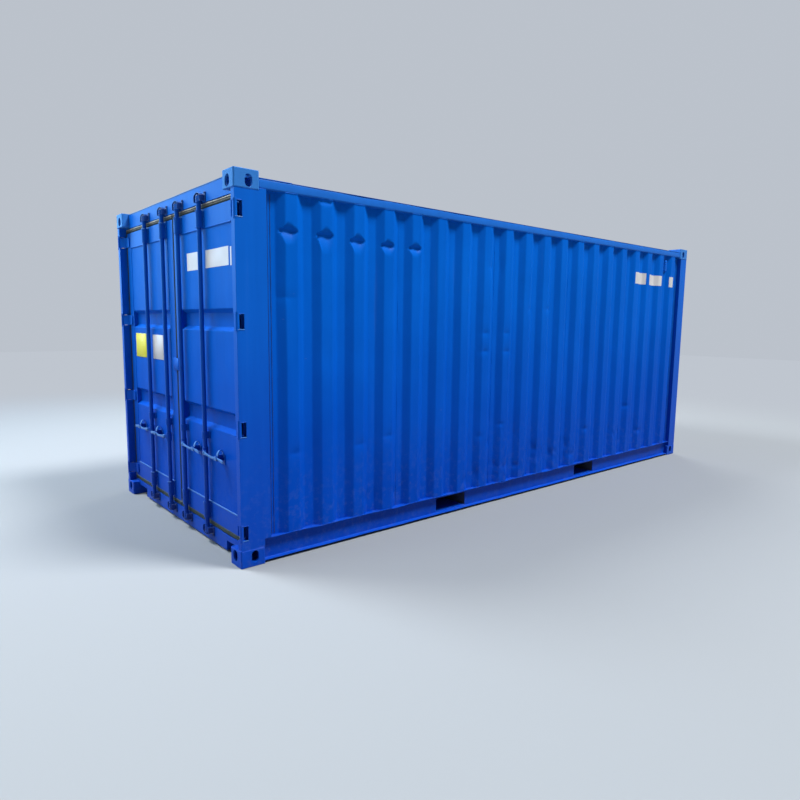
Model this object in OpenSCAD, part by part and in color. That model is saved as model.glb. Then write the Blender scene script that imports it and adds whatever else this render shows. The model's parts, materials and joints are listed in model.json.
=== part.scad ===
// Steel shipping container, twenty feet long, with two locked doors in one end.
// X runs along the length with the doors at -X, Y across, Z up from the ground.
// In the door end frame d runs in from the end face and w in from the side face.

/* [Overall] */
// Length over the corner castings
length = 6058; // [4500:1:7500]
// Width over the corner castings
width = 2438; // [2200:1:2700]
// Height over the corner castings
height = 2591; // [2560:1:2900]

/* [Corner castings] */
// Casting size along the length
casting_l = 178; // [170:1:190]
// Casting size across the width
casting_w = 162; // [155:1:175]
// Casting height
casting_h = 118; // [112:1:128]
// Thickness of the top or bottom wall that takes the twist-lock
handling_wall = 28.5; // [22:0.5:32]
// Thickness of the side and end walls with the lashing holes
lashing_wall = 16; // [12:0.5:20]
// Thickness of the three closed walls
closed_wall = 8; // [6:0.5:12]
// Length of the twist-lock slot
slot_l = 124; // [118:0.5:130]
// Radius of a casting's upright edges
casting_corner_r = 10; // [6:0.5:14]
// Radius of a casting's level edges
casting_edge_r = 4; // [2:0.5:6]
// Width of the twist-lock slot
slot_w = 63.5; // [56:0.5:68]
// Width of the lashing hole in the side wall
side_hole_w = 51; // [44:0.5:60]
// Width of the lashing hole in the end wall
end_hole_w = 63.5; // [50:0.5:68]
// Height of both lashing holes
hole_h = 79.5; // [70:0.5:81]
// Centre of the holes from the end face
hole_from_end = 102.5; // [98:0.5:106]
// Centre of the holes from the side face
hole_from_side = 89.5; // [84:0.5:94]
// Centre of the lashing holes from the top or bottom face
hole_from_base = 70; // [69:0.5:72]

/* [Door posts] */
// Post side face behind the casting side face
post_inset = 3; // [1:0.5:6]
// Post front face behind the casting end face
post_setback = 5; // [2:0.5:8]
// Post size along the length
door_post_l = 221; // [200:1:240]
// Post size across the width
post_w = 48; // [42:1:56]
// Plate thickness of the posts
post_plate = 6; // [4:0.5:8]
// Thickness of the heavy front bar of the door post
post_front_bar = 12; // [8:0.5:16]

/* [Closed end] */
// Size of the end posts along the length
end_post_l = 143; // [120:1:170]
// Depth of the end rails along the length
end_rail_l = 60; // [58:1:80]
// Plate thickness of the end rails
end_rail_plate = 4; // [3:0.5:6]
// Distance between two waves of the end wall
end_pitch = 250; // [220:1:300]
// Width of the outer flat of an end wall wave
end_crest = 100; // [80:1:110]
// Run of an end wall slope
end_slope = 35; // [25:1:40]
// Depth of the end wall waves
end_depth = 45.6; // [36:0.1:48]

/* [Side rails] */
// Size of the square top rail tube
top_rail = 60; // [50:1:70]
// Wall of the top rail tube
top_rail_wall = 3; // [2.5:0.5:5]
// Top of the top rail below the top of the castings
top_rail_drop = 45; // [36:1:52]
// Side face of the rails behind the casting side face
rail_inset = 5; // [3:0.5:7]
// Underside of the bottom rail above the ground
bottom_rail_base = 19; // [16:1:24]
// Height of the bottom rail channel
bottom_rail_h = 156; // [150:1:170]
// Width of the bottom rail flanges
rail_flange = 43; // [41:1:48]
// Plate thickness of the bottom rail
bottom_rail_plate = 4.5; // [3:0.5:6]

/* [Side walls] */
// Distance between two waves of the side wall
wave_pitch = 279.5; // [260:0.5:300]
// Width of the outer flat of a wave
wave_crest = 90; // [70:1:100]
// Run of a wave slope
wave_slope = 60; // [50:1:68]
// Depth of the waves
wave_depth = 36; // [28:1:36]
// Outer flats behind the rail side face
crest_inset = 3; // [1:0.5:5]
// Thickness of the wall, door and roof sheets
sheet = 2; // [1.5:0.1:3]

/* [Ventilators] */
// Width of a ventilator cover
vent_w = 62; // [50:1:68]
// Height of a ventilator cover
vent_h = 140; // [110:1:170]
// How far a ventilator cover stands out of the trough
vent_out = 24; // [18:1:30]
// Top of the cover below the top rail
vent_drop = 45; // [30:1:90]
// Number of louvre slits in a cover
vent_slits = 5; // [3:1:7]

/* [Roof] */
// Distance between two raised panels of the roof
roof_pitch = 209; // [190:1:240]
// Flat top of a raised panel along the length
roof_crest = 91; // [70:1:110]
// Run of a raised panel's slope
roof_slope = 18; // [12:1:24]
// Height of the raised panels
roof_rise = 20; // [14:1:26]
// Flat border beside the raised panels
roof_border = 100; // [70:1:140]

/* [Floor] */
// Underside of the cross members above the ground
floor_base = 30; // [29:1:34]
// Height of a cross member
member_h = 122; // [116:1:126]
// Flange width of a cross member
member_w = 45; // [38:1:52]
// Plate thickness of a cross member
member_plate = 4; // [3:0.5:5]
// Largest distance between two cross members
member_pitch = 305; // [260:1:360]
// Thickness of the plywood floor
board_t = 28; // [24:1:30]
// Gap between the plywood and the steel around it
board_gap = 1; // [0.5:0.5:4]
// Width of the steel rail along the middle of the floor
centre_rail_w = 150; // [100:1:200]
// Thickness of the middle rail
centre_rail_t = 4; // [3:0.5:6]
// Distance between the two fork pockets
pocket_pitch = 2050; // [1900:1:2200]
// Clear width of a fork pocket
pocket_w = 355; // [340:1:370]
// Clear height of a fork pocket
pocket_h = 115; // [110:1:116]
// Plate thickness of a fork pocket
pocket_plate = 4; // [3:0.5:6]
// Width of the plates under the mouths of a fork pocket
pocket_foot = 250; // [150:1:400]

/* [Header and sill] */
// Front of header and sill behind the end face
header_front = 62; // [60:1:64]
// Underside of the header below the top of the castings
header_drop = 128; // [124:1:136]
// Top of the header below the top of the castings
header_top_drop = 9; // [6:1:14]
// Plate thickness of header and sill
header_plate = 4; // [3:0.5:6]
// Underside of the sill above the ground
sill_base = 15; // [13:1:20]
// Front top edge of the sill above the ground
sill_h = 130; // [124:1:140]
// Width of the sill's notch beside each casting
notch_w = 195; // [150:1:220]
// Height of that notch
notch_h = 73; // [60:1:80]
// Size of the square roof corner plates along the length
corner_plate_l = 240; // [200:1:300]
// Thickness of the roof corner plates
corner_plate_t = 3; // [2:0.5:5]

/* [Doors] */
// Outer face of the doors behind the end face
door_face = 67; // [65:1:70]
// Thickness of a door
door_t = 50; // [44:1:56]
// Gap between a door and its post
post_gap = 22; // [18:1:26]
// Gap between a door and the header
header_gap = 41; // [36:1:46]
// Gap between a door and the sill
sill_gap = 41; // [36:1:46]
// Gap between the two doors
meeting_gap = 28; // [26:1:34]
// Width of the stile on the hinge side
outer_stile = 104; // [92:1:116]
// Width of the stile where the doors meet
inner_stile = 114; // [104:1:122]
// Height of a door's top rail
door_top_rail = 132; // [110:1:150]
// Height of a door's bottom rail
door_bottom_rail = 142; // [120:1:160]
// Wall of the door frame tubes
frame_wall = 3.2; // [2:0.1:5]
// How far the rails stand proud of the stiles
rail_proud = 4; // [2:0.5:5]
// Centre of the lower recess above the ground
low_recess = 947; // [900:1:980]
// Centre of the upper recess below the top of the castings
high_recess_drop = 938; // [880:1:1040]
// Height of a recess at the face
recess_h = 152; // [130:1:170]
// Run of a recess slope
recess_slope = 27; // [20:1:32]
// Depth of a recess
recess_depth = 36; // [28:1:40]

/* [Gaskets] */
// Free gap between a gasket and the steel it seals on
seal_gap = 0.3; // [0.2:0.1:1]
// Front of the gaskets behind the door face
seal_setback = 1; // [0:0.5:3]
// Depth of the gasket around a door
seal_depth = 30; // [20:1:40]
// Depth of the thin lip where the doors meet
lip_depth = 10; // [6:1:12]
// Free gap between the two middle lips
lip_gap = 7; // [6:0.5:9]

/* [Hinges] */
// Hinge pin in from the end face and from the side face
pin_in = 14; // [13.5:0.5:16]
// Radius of a hinge pin
pin_r = 8; // [6:0.5:9]
// Running clearance around a hinge pin
pin_clearance = 0.1; // [0.05:0.01:0.1]
// Radius of a hinge knuckle
knuckle_r = 13; // [12:0.5:13]
// Height of the notch that a hinge turns in
hinge_notch_h = 100; // [80:1:120]
// Depth of that notch from the end face
hinge_notch_l = 57; // [54:1:60]
// End clearance between a knuckle and its lugs
knuckle_gap = 0.3; // [0.2:0.1:1]
// Thickness of a hinge lug
lug_t = 12; // [8:1:16]
// Thickness of a hinge blade
blade_t = 10; // [8:0.5:12]
// Gap above and below a blade in its notch
blade_gap = 5; // [5:0.5:10]
// End of the blade from the side face
blade_reach = 144; // [120:1:160]
// Radius of the blade's outer corners
blade_corner_r = 22; // [10:1:30]
// Centre of the lowest hinge above the ground
first_hinge = 240; // [225:1:300]
// Centre of the highest hinge below the top of the castings
last_hinge_drop = 246; // [231:1:391]
// Number of hinges on a door
hinge_count = 4; // [3:1:6]

/* [Lock bars] */
// Radius of a lock bar
bar_r = 16; // [13:0.5:17]
// Centre of the lock bars behind the end face
bar_in = 38; // [37:0.5:39]
// Inner bar from the middle of the container
inner_bar = 165; // [150:1:200]
// Outer bar from the middle of the container
outer_bar = 580; // [560:1:620]
// Running clearance around a lock bar
bar_clearance = 0.1; // [0.05:0.01:0.1]
// Outer radius of a bar guide
guide_r = 22; // [20:0.5:23]
// Height of the long guides on the door rails
guide_h = 120; // [100:1:130]
// How far a guide's feet reach beside it
guide_foot_w = 14; // [10:1:18]
// Thickness of a guide's feet
guide_foot_t = 5; // [4:0.5:8]
// Height of the short middle guides
short_guide_h = 50; // [40:1:70]
// Centre of the short guides above the ground
short_guide_z = 815; // [800:1:830]
// Radius of a cam's hub
cam_r = 19; // [18:0.5:20]
// Height of a cam
cam_h = 40; // [30:1:44]
// Reach of a cam's nose from the bar's centre
nose_reach = 36; // [32:1:38]
// Thickness of a cam's nose at its round end
nose_t = 16; // [12:1:20]
// Height of the collar between a bar and its cam
collar_h = 6; // [4:1:10]
// Radius of that collar
collar_r = 21; // [20:0.5:22]
// Gap from the header or sill edge to a cam
cam_gap = 7; // [4:1:10]

/* [Cam keepers] */
// Side gap between a cam's nose and the keeper's ears
keeper_gap = 8; // [7:0.5:10]
// Thickness of a keeper's ear
ear_t = 8; // [6:0.5:10]
// Width of a keeper's foot
foot_w = 16; // [12:1:24]
// Thickness of a keeper's foot
foot_t = 6; // [4:0.5:8]
// Front of a keeper behind the end face
keeper_front = 22; // [18:1:28]

/* [Handles] */
// Pivot of the handles above the ground
handle_z = 690; // [670:1:720]
// Pivot of a handle from the bar's centre
pivot_out = 38; // [36:1:44]
// Reach of a handle from the bar's centre
handle_reach = 365; // [320:1:372]
// Thickness of a handle
handle_t = 8; // [6:0.5:8]
// Front of a handle behind the end face
handle_front = 6; // [5:0.5:7]
// Width of a handle's arm at its grip
arm_w = 22; // [16:1:24]
// Width of the arm at its waist beyond the eye
waist_w = 16; // [12:1:20]
// Place of the waist from the pivot
waist_out = 70; // [50:1:110]
// Radius of a handle's eye around its pivot
eye_r = 16; // [14:0.5:18]
// Radius of a handle's pivot pin
pivot_r = 7; // [5:0.5:8]
// Running clearance of the pivot pin
pivot_clearance = 0.08; // [0.05:0.01:0.1]
// Gap between a handle and its lug
handle_gap = 0.5; // [0.3:0.1:1.5]
// Thickness of the lug on the bar
hub_lug_t = 10; // [8:0.5:12]
// Outer radius of the hub on the bar
hub_r = 21; // [19:0.5:22]
// Height of the hub on the bar
hub_h = 70; // [60:1:90]
// Catch from the bar's centre
catch_out = 250; // [200:1:280]
// Width of a catch plate
catch_w = 60; // [50:1:70]
// Height of a catch plate
catch_h = 70; // [50:1:80]
// Thickness of the catch plates
catch_t = 5; // [4:0.5:8]
// Gap between a handle and its catch
catch_gap = 5; // [5:0.5:8]

/* [Overlap plate] */
// Centre of the overlap plate above the ground
overlap_z = 1300; // [1200:1:1400]
// Height of the overlap plate
overlap_h = 97; // [80:1:120]
// Width of the overlap plate
overlap_w = 59; // [40:1:70]
// Thickness of the overlap plate
overlap_t = 8; // [5:0.5:10]
// Its free edge from the middle of the container
overlap_from_middle = 3.5; // [3.5:0.5:6]

/* [Hidden] */
half = width / 2;
lap = 1;
post_inner = post_inset + post_w;
door_post_end = post_setback + door_post_l;
rail_top = height - top_rail_drop;
rail_under = rail_top - top_rail;
bottom_rail_top = bottom_rail_base + bottom_rail_h;
web_in = rail_inset + rail_flange;
web_face = web_in - bottom_rail_plate;
crest_w = rail_inset + crest_inset;
trough_w = crest_w + wave_depth;
casting_under = height - casting_h;
end_post_start = length - post_setback - end_post_l;
floor_under = floor_base + member_h;
floor_top = floor_under + board_t;
floor_end = length - rail_inset - end_rail_l - board_gap;
pocket_z = floor_under - pocket_plate - pocket_h;
header_z = height - header_drop;
header_top = height - header_top_drop;
door_low = sill_h + sill_gap;
door_high = header_z - header_gap;
door_edge = post_inner + post_gap;
door_meet = half - meeting_gap / 2;
door_back = door_face + door_t;
panel_low = door_low + door_bottom_rail;
panel_high = door_high - door_top_rail;
rail_face = door_face - rail_proud;
wave_span = wave_crest + 2 * wave_slope;
wave_count = floor((end_post_start - door_post_end - wave_span) / wave_pitch) + 1;
wave_first = (door_post_end + end_post_start - (wave_count - 1) * wave_pitch) / 2;
end_span = end_crest + 2 * end_slope;
end_wall_w = width - 2 * post_inner;
end_count = floor((end_wall_w - end_span) / end_pitch) + 1;
roof_start = casting_l;
roof_end = length - rail_inset;
roof_panel_l = roof_crest + 2 * roof_slope;
roof_count = floor((roof_end - casting_l - roof_start - roof_panel_l) / roof_pitch) + 1;
pin_l = hinge_notch_h + 2 * lug_t;
hinge_step = (height - last_hinge_drop - first_hinge) / (hinge_count - 1);
bar_places = [inner_bar, outer_bar];
cam_top_z = header_z + cam_gap;
cam_low_z = sill_h - cam_gap - cam_h;

// Places and directions

// Door end frame of one side: 1 is the left side, -1 the right side
module door_end(side) {
    translate([-length / 2, side * half, 0])
        mirror([0, side > 0 ? 1 : 0, 0]) children();
}

// Both sides of the door end frame
module both_sides() {
    for (side = [-1, 1]) door_end(side) children();
}

// A side profile in d and z, carried across from w0 to w1
module across(w0, w1) {
    translate([0, w1, 0]) rotate([90, 0, 0]) linear_extrude(w1 - w0) children();
}

// A cross section in w and z, carried along from d0 to d1
module along(d0, d1) {
    translate([d0, 0, 0]) rotate([90, 0, 90]) linear_extrude(d1 - d0) children();
}

// A plan in d and w, carried up from z0 to z1
module upright(z0, z1) {
    translate([0, 0, z0]) linear_extrude(z1 - z0) children();
}

// A block between two corners
module block(low, high) {
    translate(low) cube(high - low);
}

// The place of each hinge
module each_hinge() {
    for (i = [0:hinge_count - 1]) translate([0, 0, first_hinge + i * hinge_step]) children();
}

// Profiles

// Rectangle between two corners, with its middle taken out
module hollow_rect(low, high, wall) {
    difference() {
        translate(low) square(high - low);
        translate(low + [wall, wall]) square(high - low - [2 * wall, 2 * wall]);
    }
}

// Rectangle between two corners, with round corners
module round_rect(low, high, r) {
    for (x = [low[0] + r, high[0] - r], y = [low[1] + r, high[1] - r])
        translate([x, y]) circle(r = r, $fn = 48);
    translate(low + [r, 0]) square(high - low - [2 * r, 0]);
    translate(low + [0, r]) square(high - low - [0, 2 * r]);
}

// Outer points of one wave about its centre: trough, flat, flat, trough
function wave_points(centre, flat, slope, crest, trough, shift) =
    [[centre - flat / 2 - slope + shift, trough], [centre - flat / 2 + shift, crest],
     [centre + flat / 2 - shift, crest], [centre + flat / 2 + slope - shift, trough]];

// Corrugated sheet of even thickness from start to end, flat along both edges
module wave_sheet(start, end, first, count, pitch, flat, slope, crest, depth, t) {
    trough = crest + depth;
    shift = t * tan(atan(depth / slope) / 2);
    outer = [for (i = [0:count - 1])
        each wave_points(first + i * pitch, flat, slope, crest, trough, 0)];
    inner = [for (i = [count - 1:-1:0]) each [for (j = [3:-1:0])
        wave_points(first + i * pitch, flat, slope, crest + t, trough + t, shift)[j]]];
    polygon(concat([[start, trough]], outer, [[end, trough], [end, trough + t]],
                   inner, [[start, trough + t]]));
}

// Hole with round ends, centred, long along its first axis
module round_slot(l, w, t) {
    for (side = [-1, 1])
        translate([side * (l - w) / 2, 0, -t / 2]) cylinder(d = w, h = t, $fn = 48);
    cube([l - w, w, t], center = true);
}

// Corner castings

// Outer form of a casting, with its edges rounded along all three directions
module casting_block() {
    intersection() {
        upright(0, casting_h) round_rect([0, 0], [casting_l, casting_w], casting_corner_r);
        across(0, casting_w) round_rect([0, 0], [casting_l, casting_h], casting_edge_r);
        along(0, casting_l) round_rect([0, 0], [casting_w, casting_h], casting_edge_r);
    }
}

// Casting with its outer corner at the origin and its handling face down
module casting() {
    difference() {
        casting_block();
        translate([lashing_wall, lashing_wall, handling_wall])
            cube([casting_l - lashing_wall - closed_wall,
                  casting_w - lashing_wall - closed_wall,
                  casting_h - handling_wall - closed_wall]);
        translate([hole_from_end, hole_from_side, handling_wall / 2])
            round_slot(slot_l, slot_w, handling_wall + 2 * lap);
        translate([hole_from_end, lashing_wall / 2, hole_from_base])
            rotate([90, 90, 0]) round_slot(hole_h, side_hole_w, lashing_wall + 2 * lap);
        translate([lashing_wall / 2, hole_from_side, hole_from_base])
            rotate([0, 90, 0]) round_slot(hole_h, end_hole_w, lashing_wall + 2 * lap);
    }
}

// The four castings of one level: 0 is the bottom, 1 the top
module casting_set(level) {
    color("royalblue") for (end = [0, 1], side = [0, 1])
        translate([(end * 2 - 1) * length / 2, (side * 2 - 1) * half, level * height])
            mirror([end, 0, 0]) mirror([0, side, 0]) mirror([0, 0, level]) casting();
}

module bottom_castings() { casting_set(0); }
module top_castings() { casting_set(1); }

// Posts

// Plate across the post with an eye for the hinge pin
module hinge_lug() {
    block([post_setback, post_inset, -lug_t / 2], [hinge_notch_l, post_inner, lug_t / 2]);
    translate([pin_in, pin_in, 0]) cylinder(r = knuckle_r, h = lug_t, center = true, $fn = 48);
}

// Door post in the door end frame: heavy front bar, hinge notches and lugs
module door_post() {
    color("royalblue") difference() {
        union() {
            difference() {
                block([post_setback, post_inset, casting_h], [door_post_end, post_inner, rail_under]);
                block([post_setback + post_front_bar, post_inset + post_plate, casting_h - lap],
                      [door_post_end - post_plate, post_inner - post_plate, rail_under + lap]);
                each_hinge()
                    block([0, 0, -hinge_notch_h / 2], [hinge_notch_l, post_inner + lap, hinge_notch_h / 2]);
            }
            each_hinge() for (level = [-1, 1])
                translate([0, 0, level * (hinge_notch_h + lug_t) / 2]) hinge_lug();
        }
        block([casting_l, 0, casting_h - lap], [door_post_end + lap, post_inner + lap, bottom_rail_top]);
        block([0, 0, casting_under], [casting_l, post_inner + lap, rail_under + lap]);
        each_hinge() translate([pin_in, pin_in, 0])
            cylinder(r = pin_r + pin_clearance, h = pin_l + 2 * lap, center = true, $fn = 48);
    }
}

module door_post_left() { door_end(1) door_post(); }
module door_post_right() { door_end(-1) door_post(); }

// End post in the door end frame, at the far end
module end_post() {
    color("royalblue") upright(casting_h, casting_under)
        hollow_rect([end_post_start, post_inset], [length - post_setback, post_inner], post_plate);
}

module end_post_left() { door_end(1) end_post(); }
module end_post_right() { door_end(-1) end_post(); }

// Header and sill

// Box beam between the top castings
module door_header() {
    color("royalblue") door_end(-1) across(casting_w, width - casting_w)
        hollow_rect([header_front, header_z], [casting_l, header_top], header_plate);
}

// Outline of the sill: a box with a raised step at its back that meets the floor
module sill_outline(wall) {
    step_d = door_back + post_gap / 2;
    polygon([[header_front + wall, sill_base + wall], [casting_l - wall, sill_base + wall],
             [casting_l - wall, floor_top - wall], [step_d + wall, floor_top - wall],
             [step_d + wall, sill_h - wall], [header_front + wall, sill_h - wall]]);
}

// Sill with a notch beside each casting, closed by a lip and a cheek
module door_sill() {
    notch_top = sill_base + notch_h;
    color("royalblue") {
        door_end(-1) difference() {
            across(post_inner, width - post_inner) sill_outline(0);
            across(post_inner - lap, width - post_inner + lap) sill_outline(header_plate);
            for (w = [0, width - casting_w])
                block([0, w, 0], [casting_l + lap, w + casting_w, casting_h]);
            for (w = [casting_w - lap, width - casting_w - notch_w])
                block([0, w, 0], [casting_l + lap, w + notch_w + lap, notch_top]);
        }
        both_sides() {
            block([header_front, casting_w, notch_top],
                  [casting_l, casting_w + notch_w + header_plate, notch_top + header_plate]);
            block([header_front, casting_w + notch_w, sill_base],
                  [casting_l, casting_w + notch_w + header_plate, notch_top + lap]);
        }
    }
}

// End rails

module end_top_rail() {
    color("royalblue") door_end(-1) across(casting_w, width - casting_w)
        hollow_rect([length - rail_inset - end_rail_l, casting_under], [length - rail_inset, rail_top],
                    end_rail_plate);
}

module end_bottom_rail() {
    back = length - rail_inset;
    color("royalblue") door_end(-1) difference() {
        across(post_inner, width - post_inner)
            hollow_rect([back - end_rail_l, bottom_rail_base], [back, bottom_rail_top],
                        end_rail_plate);
        for (w = [0, width - casting_w])
            block([back - end_rail_l - lap, w, 0], [back + lap, w + casting_w, casting_h]);
    }
}

// Side rails

module top_rail() {
    color("royalblue") along(casting_l, length - casting_l)
        hollow_rect([rail_inset, rail_under], [rail_inset + top_rail, rail_top], top_rail_wall);
}

module top_rail_left() { door_end(1) top_rail(); }
module top_rail_right() { door_end(-1) top_rail(); }

// Outline of the bottom rail: a channel with its flanges outwards
module rail_outline() {
    plate = bottom_rail_plate;
    polygon([[rail_inset, bottom_rail_base], [web_in, bottom_rail_base], [web_in, bottom_rail_top],
             [rail_inset, bottom_rail_top], [rail_inset, bottom_rail_top - plate],
             [web_face, bottom_rail_top - plate], [web_face, bottom_rail_base + plate],
             [rail_inset, bottom_rail_base + plate]]);
}

// The three stretches of the rail beside the fork pockets, the last one over the casting
module bottom_rail() {
    color("royalblue") difference() {
        along(casting_l, end_post_start) rail_outline();
        block([length - casting_l, 0, 0], [length, post_inner, casting_h]);
        each_pocket() block([-pocket_w / 2, 0, 0], [pocket_w / 2, post_inner, height / 2]);
    }
}

module bottom_rail_left() { door_end(1) bottom_rail(); }
module bottom_rail_right() { door_end(-1) bottom_rail(); }

// The rail over and under each fork pocket, with the opening between them
module pocket_straps() {
    color("royalblue") both_sides() each_pocket() difference() {
        along(-pocket_w / 2, pocket_w / 2) rail_outline();
        block([-pocket_w / 2 - lap, web_face - lap, pocket_z],
              [pocket_w / 2 + lap, web_in + lap, pocket_z + pocket_h]);
    }
}

// Walls

// Corrugated side wall between the posts, standing on the bottom rail
module side_wall() {
    color("royalblue") difference() {
        upright(bottom_rail_top, rail_under)
            wave_sheet(door_post_end, end_post_start, wave_first, wave_count, wave_pitch,
                       wave_crest, wave_slope, crest_w, wave_depth, sheet);
        block([length - casting_l, 0, casting_under], [length, half, rail_under + lap]);
    }
}

module side_wall_left() { door_end(1) side_wall(); }
module side_wall_right() { door_end(-1) side_wall(); }

// Corrugated end wall between the end posts
module end_wall() {
    back = length - rail_inset;
    color("royalblue") door_end(-1) upright(bottom_rail_top, casting_under)
        translate([back, 0, 0]) mirror([1, 0, 0]) mirror([1, -1, 0])
            wave_sheet(post_inner, width - post_inner, half - (end_count - 1) * end_pitch / 2,
                       end_count, end_pitch, end_crest, end_slope, crest_inset, end_depth, sheet);
}

// Roof

// Solid under the raised panels, its top a distance below the real one
module roof_bumps(drop) {
    shift = drop * tan(atan(roof_rise / roof_slope) / 2);
    low = rail_top + sheet - drop - (drop > 0 ? lap : 0);
    top = rail_top + sheet + roof_rise - drop;
    first = (roof_start + roof_end - casting_l - (roof_count - 1) * roof_pitch) / 2;
    spread = roof_slope * (top - low) / roof_rise;
    intersection() {
        for (i = [0:roof_count - 1]) translate([first + i * roof_pitch, 0, 0])
            across(roof_border, width - roof_border)
                polygon([[-roof_crest / 2 - spread + shift, low], [roof_crest / 2 + spread - shift, low],
                         [roof_crest / 2 - shift, top], [-roof_crest / 2 + shift, top]]);
        along(0, length)
            polygon([[roof_border + shift, low], [width - roof_border - shift, low],
                     [width - roof_border - spread - shift, top], [roof_border + spread + shift, top]]);
    }
}

module roof_panel() {
    color("royalblue") door_end(-1) difference() {
        union() {
            block([roof_start, rail_inset, rail_top], [roof_end, width - rail_inset, rail_top + sheet]);
            roof_bumps(0);
        }
        roof_bumps(sheet);
        for (w = [0, width - casting_w])
            block([length - casting_l, w, rail_top - lap], [length, w + casting_w, height]);
    }
}

// Flat plates that guard the roof behind the door end castings
module roof_corner_plates() {
    color("royalblue") both_sides()
        block([casting_l, rail_inset, rail_top + sheet],
              [casting_l + corner_plate_l, roof_border, rail_top + sheet + corner_plate_t]);
}

// Ventilators

// Louvred cover in the last trough but one
module vent_cover() {
    trough = wave_first + (wave_count - 1.5) * wave_pitch;
    top = rail_under - vent_drop;
    slit = vent_h / (2 * vent_slits + 1);
    difference() {
        block([trough - vent_w / 2, trough_w - vent_out, top - vent_h],
              [trough + vent_w / 2, trough_w, top]);
        for (i = [0:vent_slits - 1])
            block([trough - vent_w / 2 + slit, trough_w - vent_out - lap, top - (2 * i + 2) * slit],
                  [trough + vent_w / 2 - slit, trough_w - vent_out + slit / 2, top - (2 * i + 1) * slit]);
    }
}

module ventilators() { color("royalblue") both_sides() vent_cover(); }

// Floor

// The middle of each fork pocket
module each_pocket() {
    for (side = [-1, 1]) translate([length / 2 + side * pocket_pitch / 2, 0, 0]) children();
}

// Roof of each fork pocket, and the short plates under its two mouths
module pocket_plates() {
    color("royalblue") door_end(-1) each_pocket() {
        block([-pocket_w / 2, web_in, floor_under - pocket_plate],
              [pocket_w / 2, width - web_in, floor_under]);
        for (w = [web_in, width - web_in - pocket_foot])
            block([-pocket_w / 2, w, pocket_z - pocket_plate],
                  [pocket_w / 2, w + pocket_foot, pocket_z]);
    }
}

// Channels along both sides of each fork pocket, with their backs to it
module pocket_sides() {
    color("royalblue") door_end(-1) each_pocket() for (side = [0, 1]) mirror([side, 0, 0])
        cross_member(pocket_w / 2);
}

// One channel across the floor, open to the right, with its foot at d
module cross_member(d) {
    plate = member_plate;
    across(web_in, width - web_in)
        translate([d, floor_base])
            polygon([[0, 0], [member_w, 0], [member_w, plate], [plate, plate],
                     [plate, member_h - plate], [member_w, member_h - plate],
                     [member_w, member_h], [0, member_h]]);
}

// Channels spread evenly over one stretch of the floor
module member_row(d0, d1) {
    count = ceil((d1 - d0) / member_pitch);
    step = (d1 - d0) / count;
    for (i = [0:count - 1]) cross_member(d0 + (i + 0.5) * step - member_w / 2);
}

module cross_members() {
    outer_side = (pocket_pitch + pocket_w) / 2;
    inner_side = (pocket_pitch - pocket_w) / 2;
    color("slategray") door_end(-1) {
        member_row(casting_l, length / 2 - outer_side);
        member_row(length / 2 - inner_side, length / 2 + inner_side);
        member_row(length / 2 + outer_side, length - casting_l);
    }
}

// Plywood on both sides of the middle rail
module floor_boards() {
    color("peru") both_sides()
        block([casting_l, post_inner + board_gap, floor_under],
              [floor_end, half - centre_rail_w / 2, floor_top]);
}

// Steel hat rail along the middle of the floor
module floor_centre_rail() {
    t = centre_rail_t;
    w = centre_rail_w / 2;
    color("slategray") door_end(-1)
        along(casting_l, floor_end)
            translate([half, floor_under])
                polygon([[-w, 0], [-w + t, 0], [-w + t, board_t - t], [w - t, board_t - t],
                         [w - t, 0], [w, 0], [w, board_t], [-w, board_t]]);
}

// Cam keepers

// Two ears with round tips beside one cam, on feet on the face of the header or sill
module keeper(z) {
    near = nose_reach + keeper_gap;
    for (side = [-1, 1]) mirror([0, side > 0 ? 0 : 1, 0]) {
        tip = keeper_front + ear_t / 2;
        foot = header_front - foot_t;
        translate([tip, near + ear_t / 2, z]) cylinder(d = ear_t, h = cam_h, $fn = 48);
        upright(z, z + cam_h)
            polygon([[tip, near], [header_front, near], [header_front, near + ear_t + foot_w],
                     [foot, near + ear_t + foot_w], [foot, near + ear_t + foot_t], [tip, near + ear_t]]);
    }
}

module cam_keepers() {
    color("royalblue") both_sides() for (place = bar_places) translate([0, half - place, 0]) {
        keeper(cam_top_z);
        keeper(cam_low_z);
    }
}

// Doors

// Frame of stiles and rails, all of them tubes
module door_frame() {
    stile_in = door_edge + outer_stile;
    meet_in = door_meet - inner_stile;
    color("royalblue") difference() {
        union() {
            block([door_face, door_edge, door_low], [door_back, stile_in, door_high]);
            block([door_face, meet_in, door_low], [door_back, door_meet, door_high]);
            block([rail_face, stile_in - lap, door_low], [door_back, meet_in + lap, panel_low]);
            block([rail_face, stile_in - lap, panel_high], [door_back, meet_in + lap, door_high]);
        }
        block([door_face + frame_wall, door_edge + frame_wall, door_low - lap],
              [door_back - frame_wall, stile_in - frame_wall, door_high + lap]);
        block([door_face + frame_wall, meet_in + frame_wall, door_low - lap],
              [door_back - frame_wall, door_meet - frame_wall, door_high + lap]);
        for (z = [[door_low, panel_low], [panel_high, door_high]])
            block([door_face + frame_wall, stile_in - frame_wall - lap, z[0] + frame_wall],
                  [door_back - frame_wall, meet_in + frame_wall + lap, z[1] - frame_wall]);
    }
}

// Points of one recess of the door panel, from below upwards
function recess_points(z, shift) =
    [[door_face, z - recess_h / 2 + shift],
     [door_face + recess_depth, z - recess_h / 2 + recess_slope + shift],
     [door_face + recess_depth, z + recess_h / 2 - recess_slope - shift],
     [door_face, z + recess_h / 2 - shift]];

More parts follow.
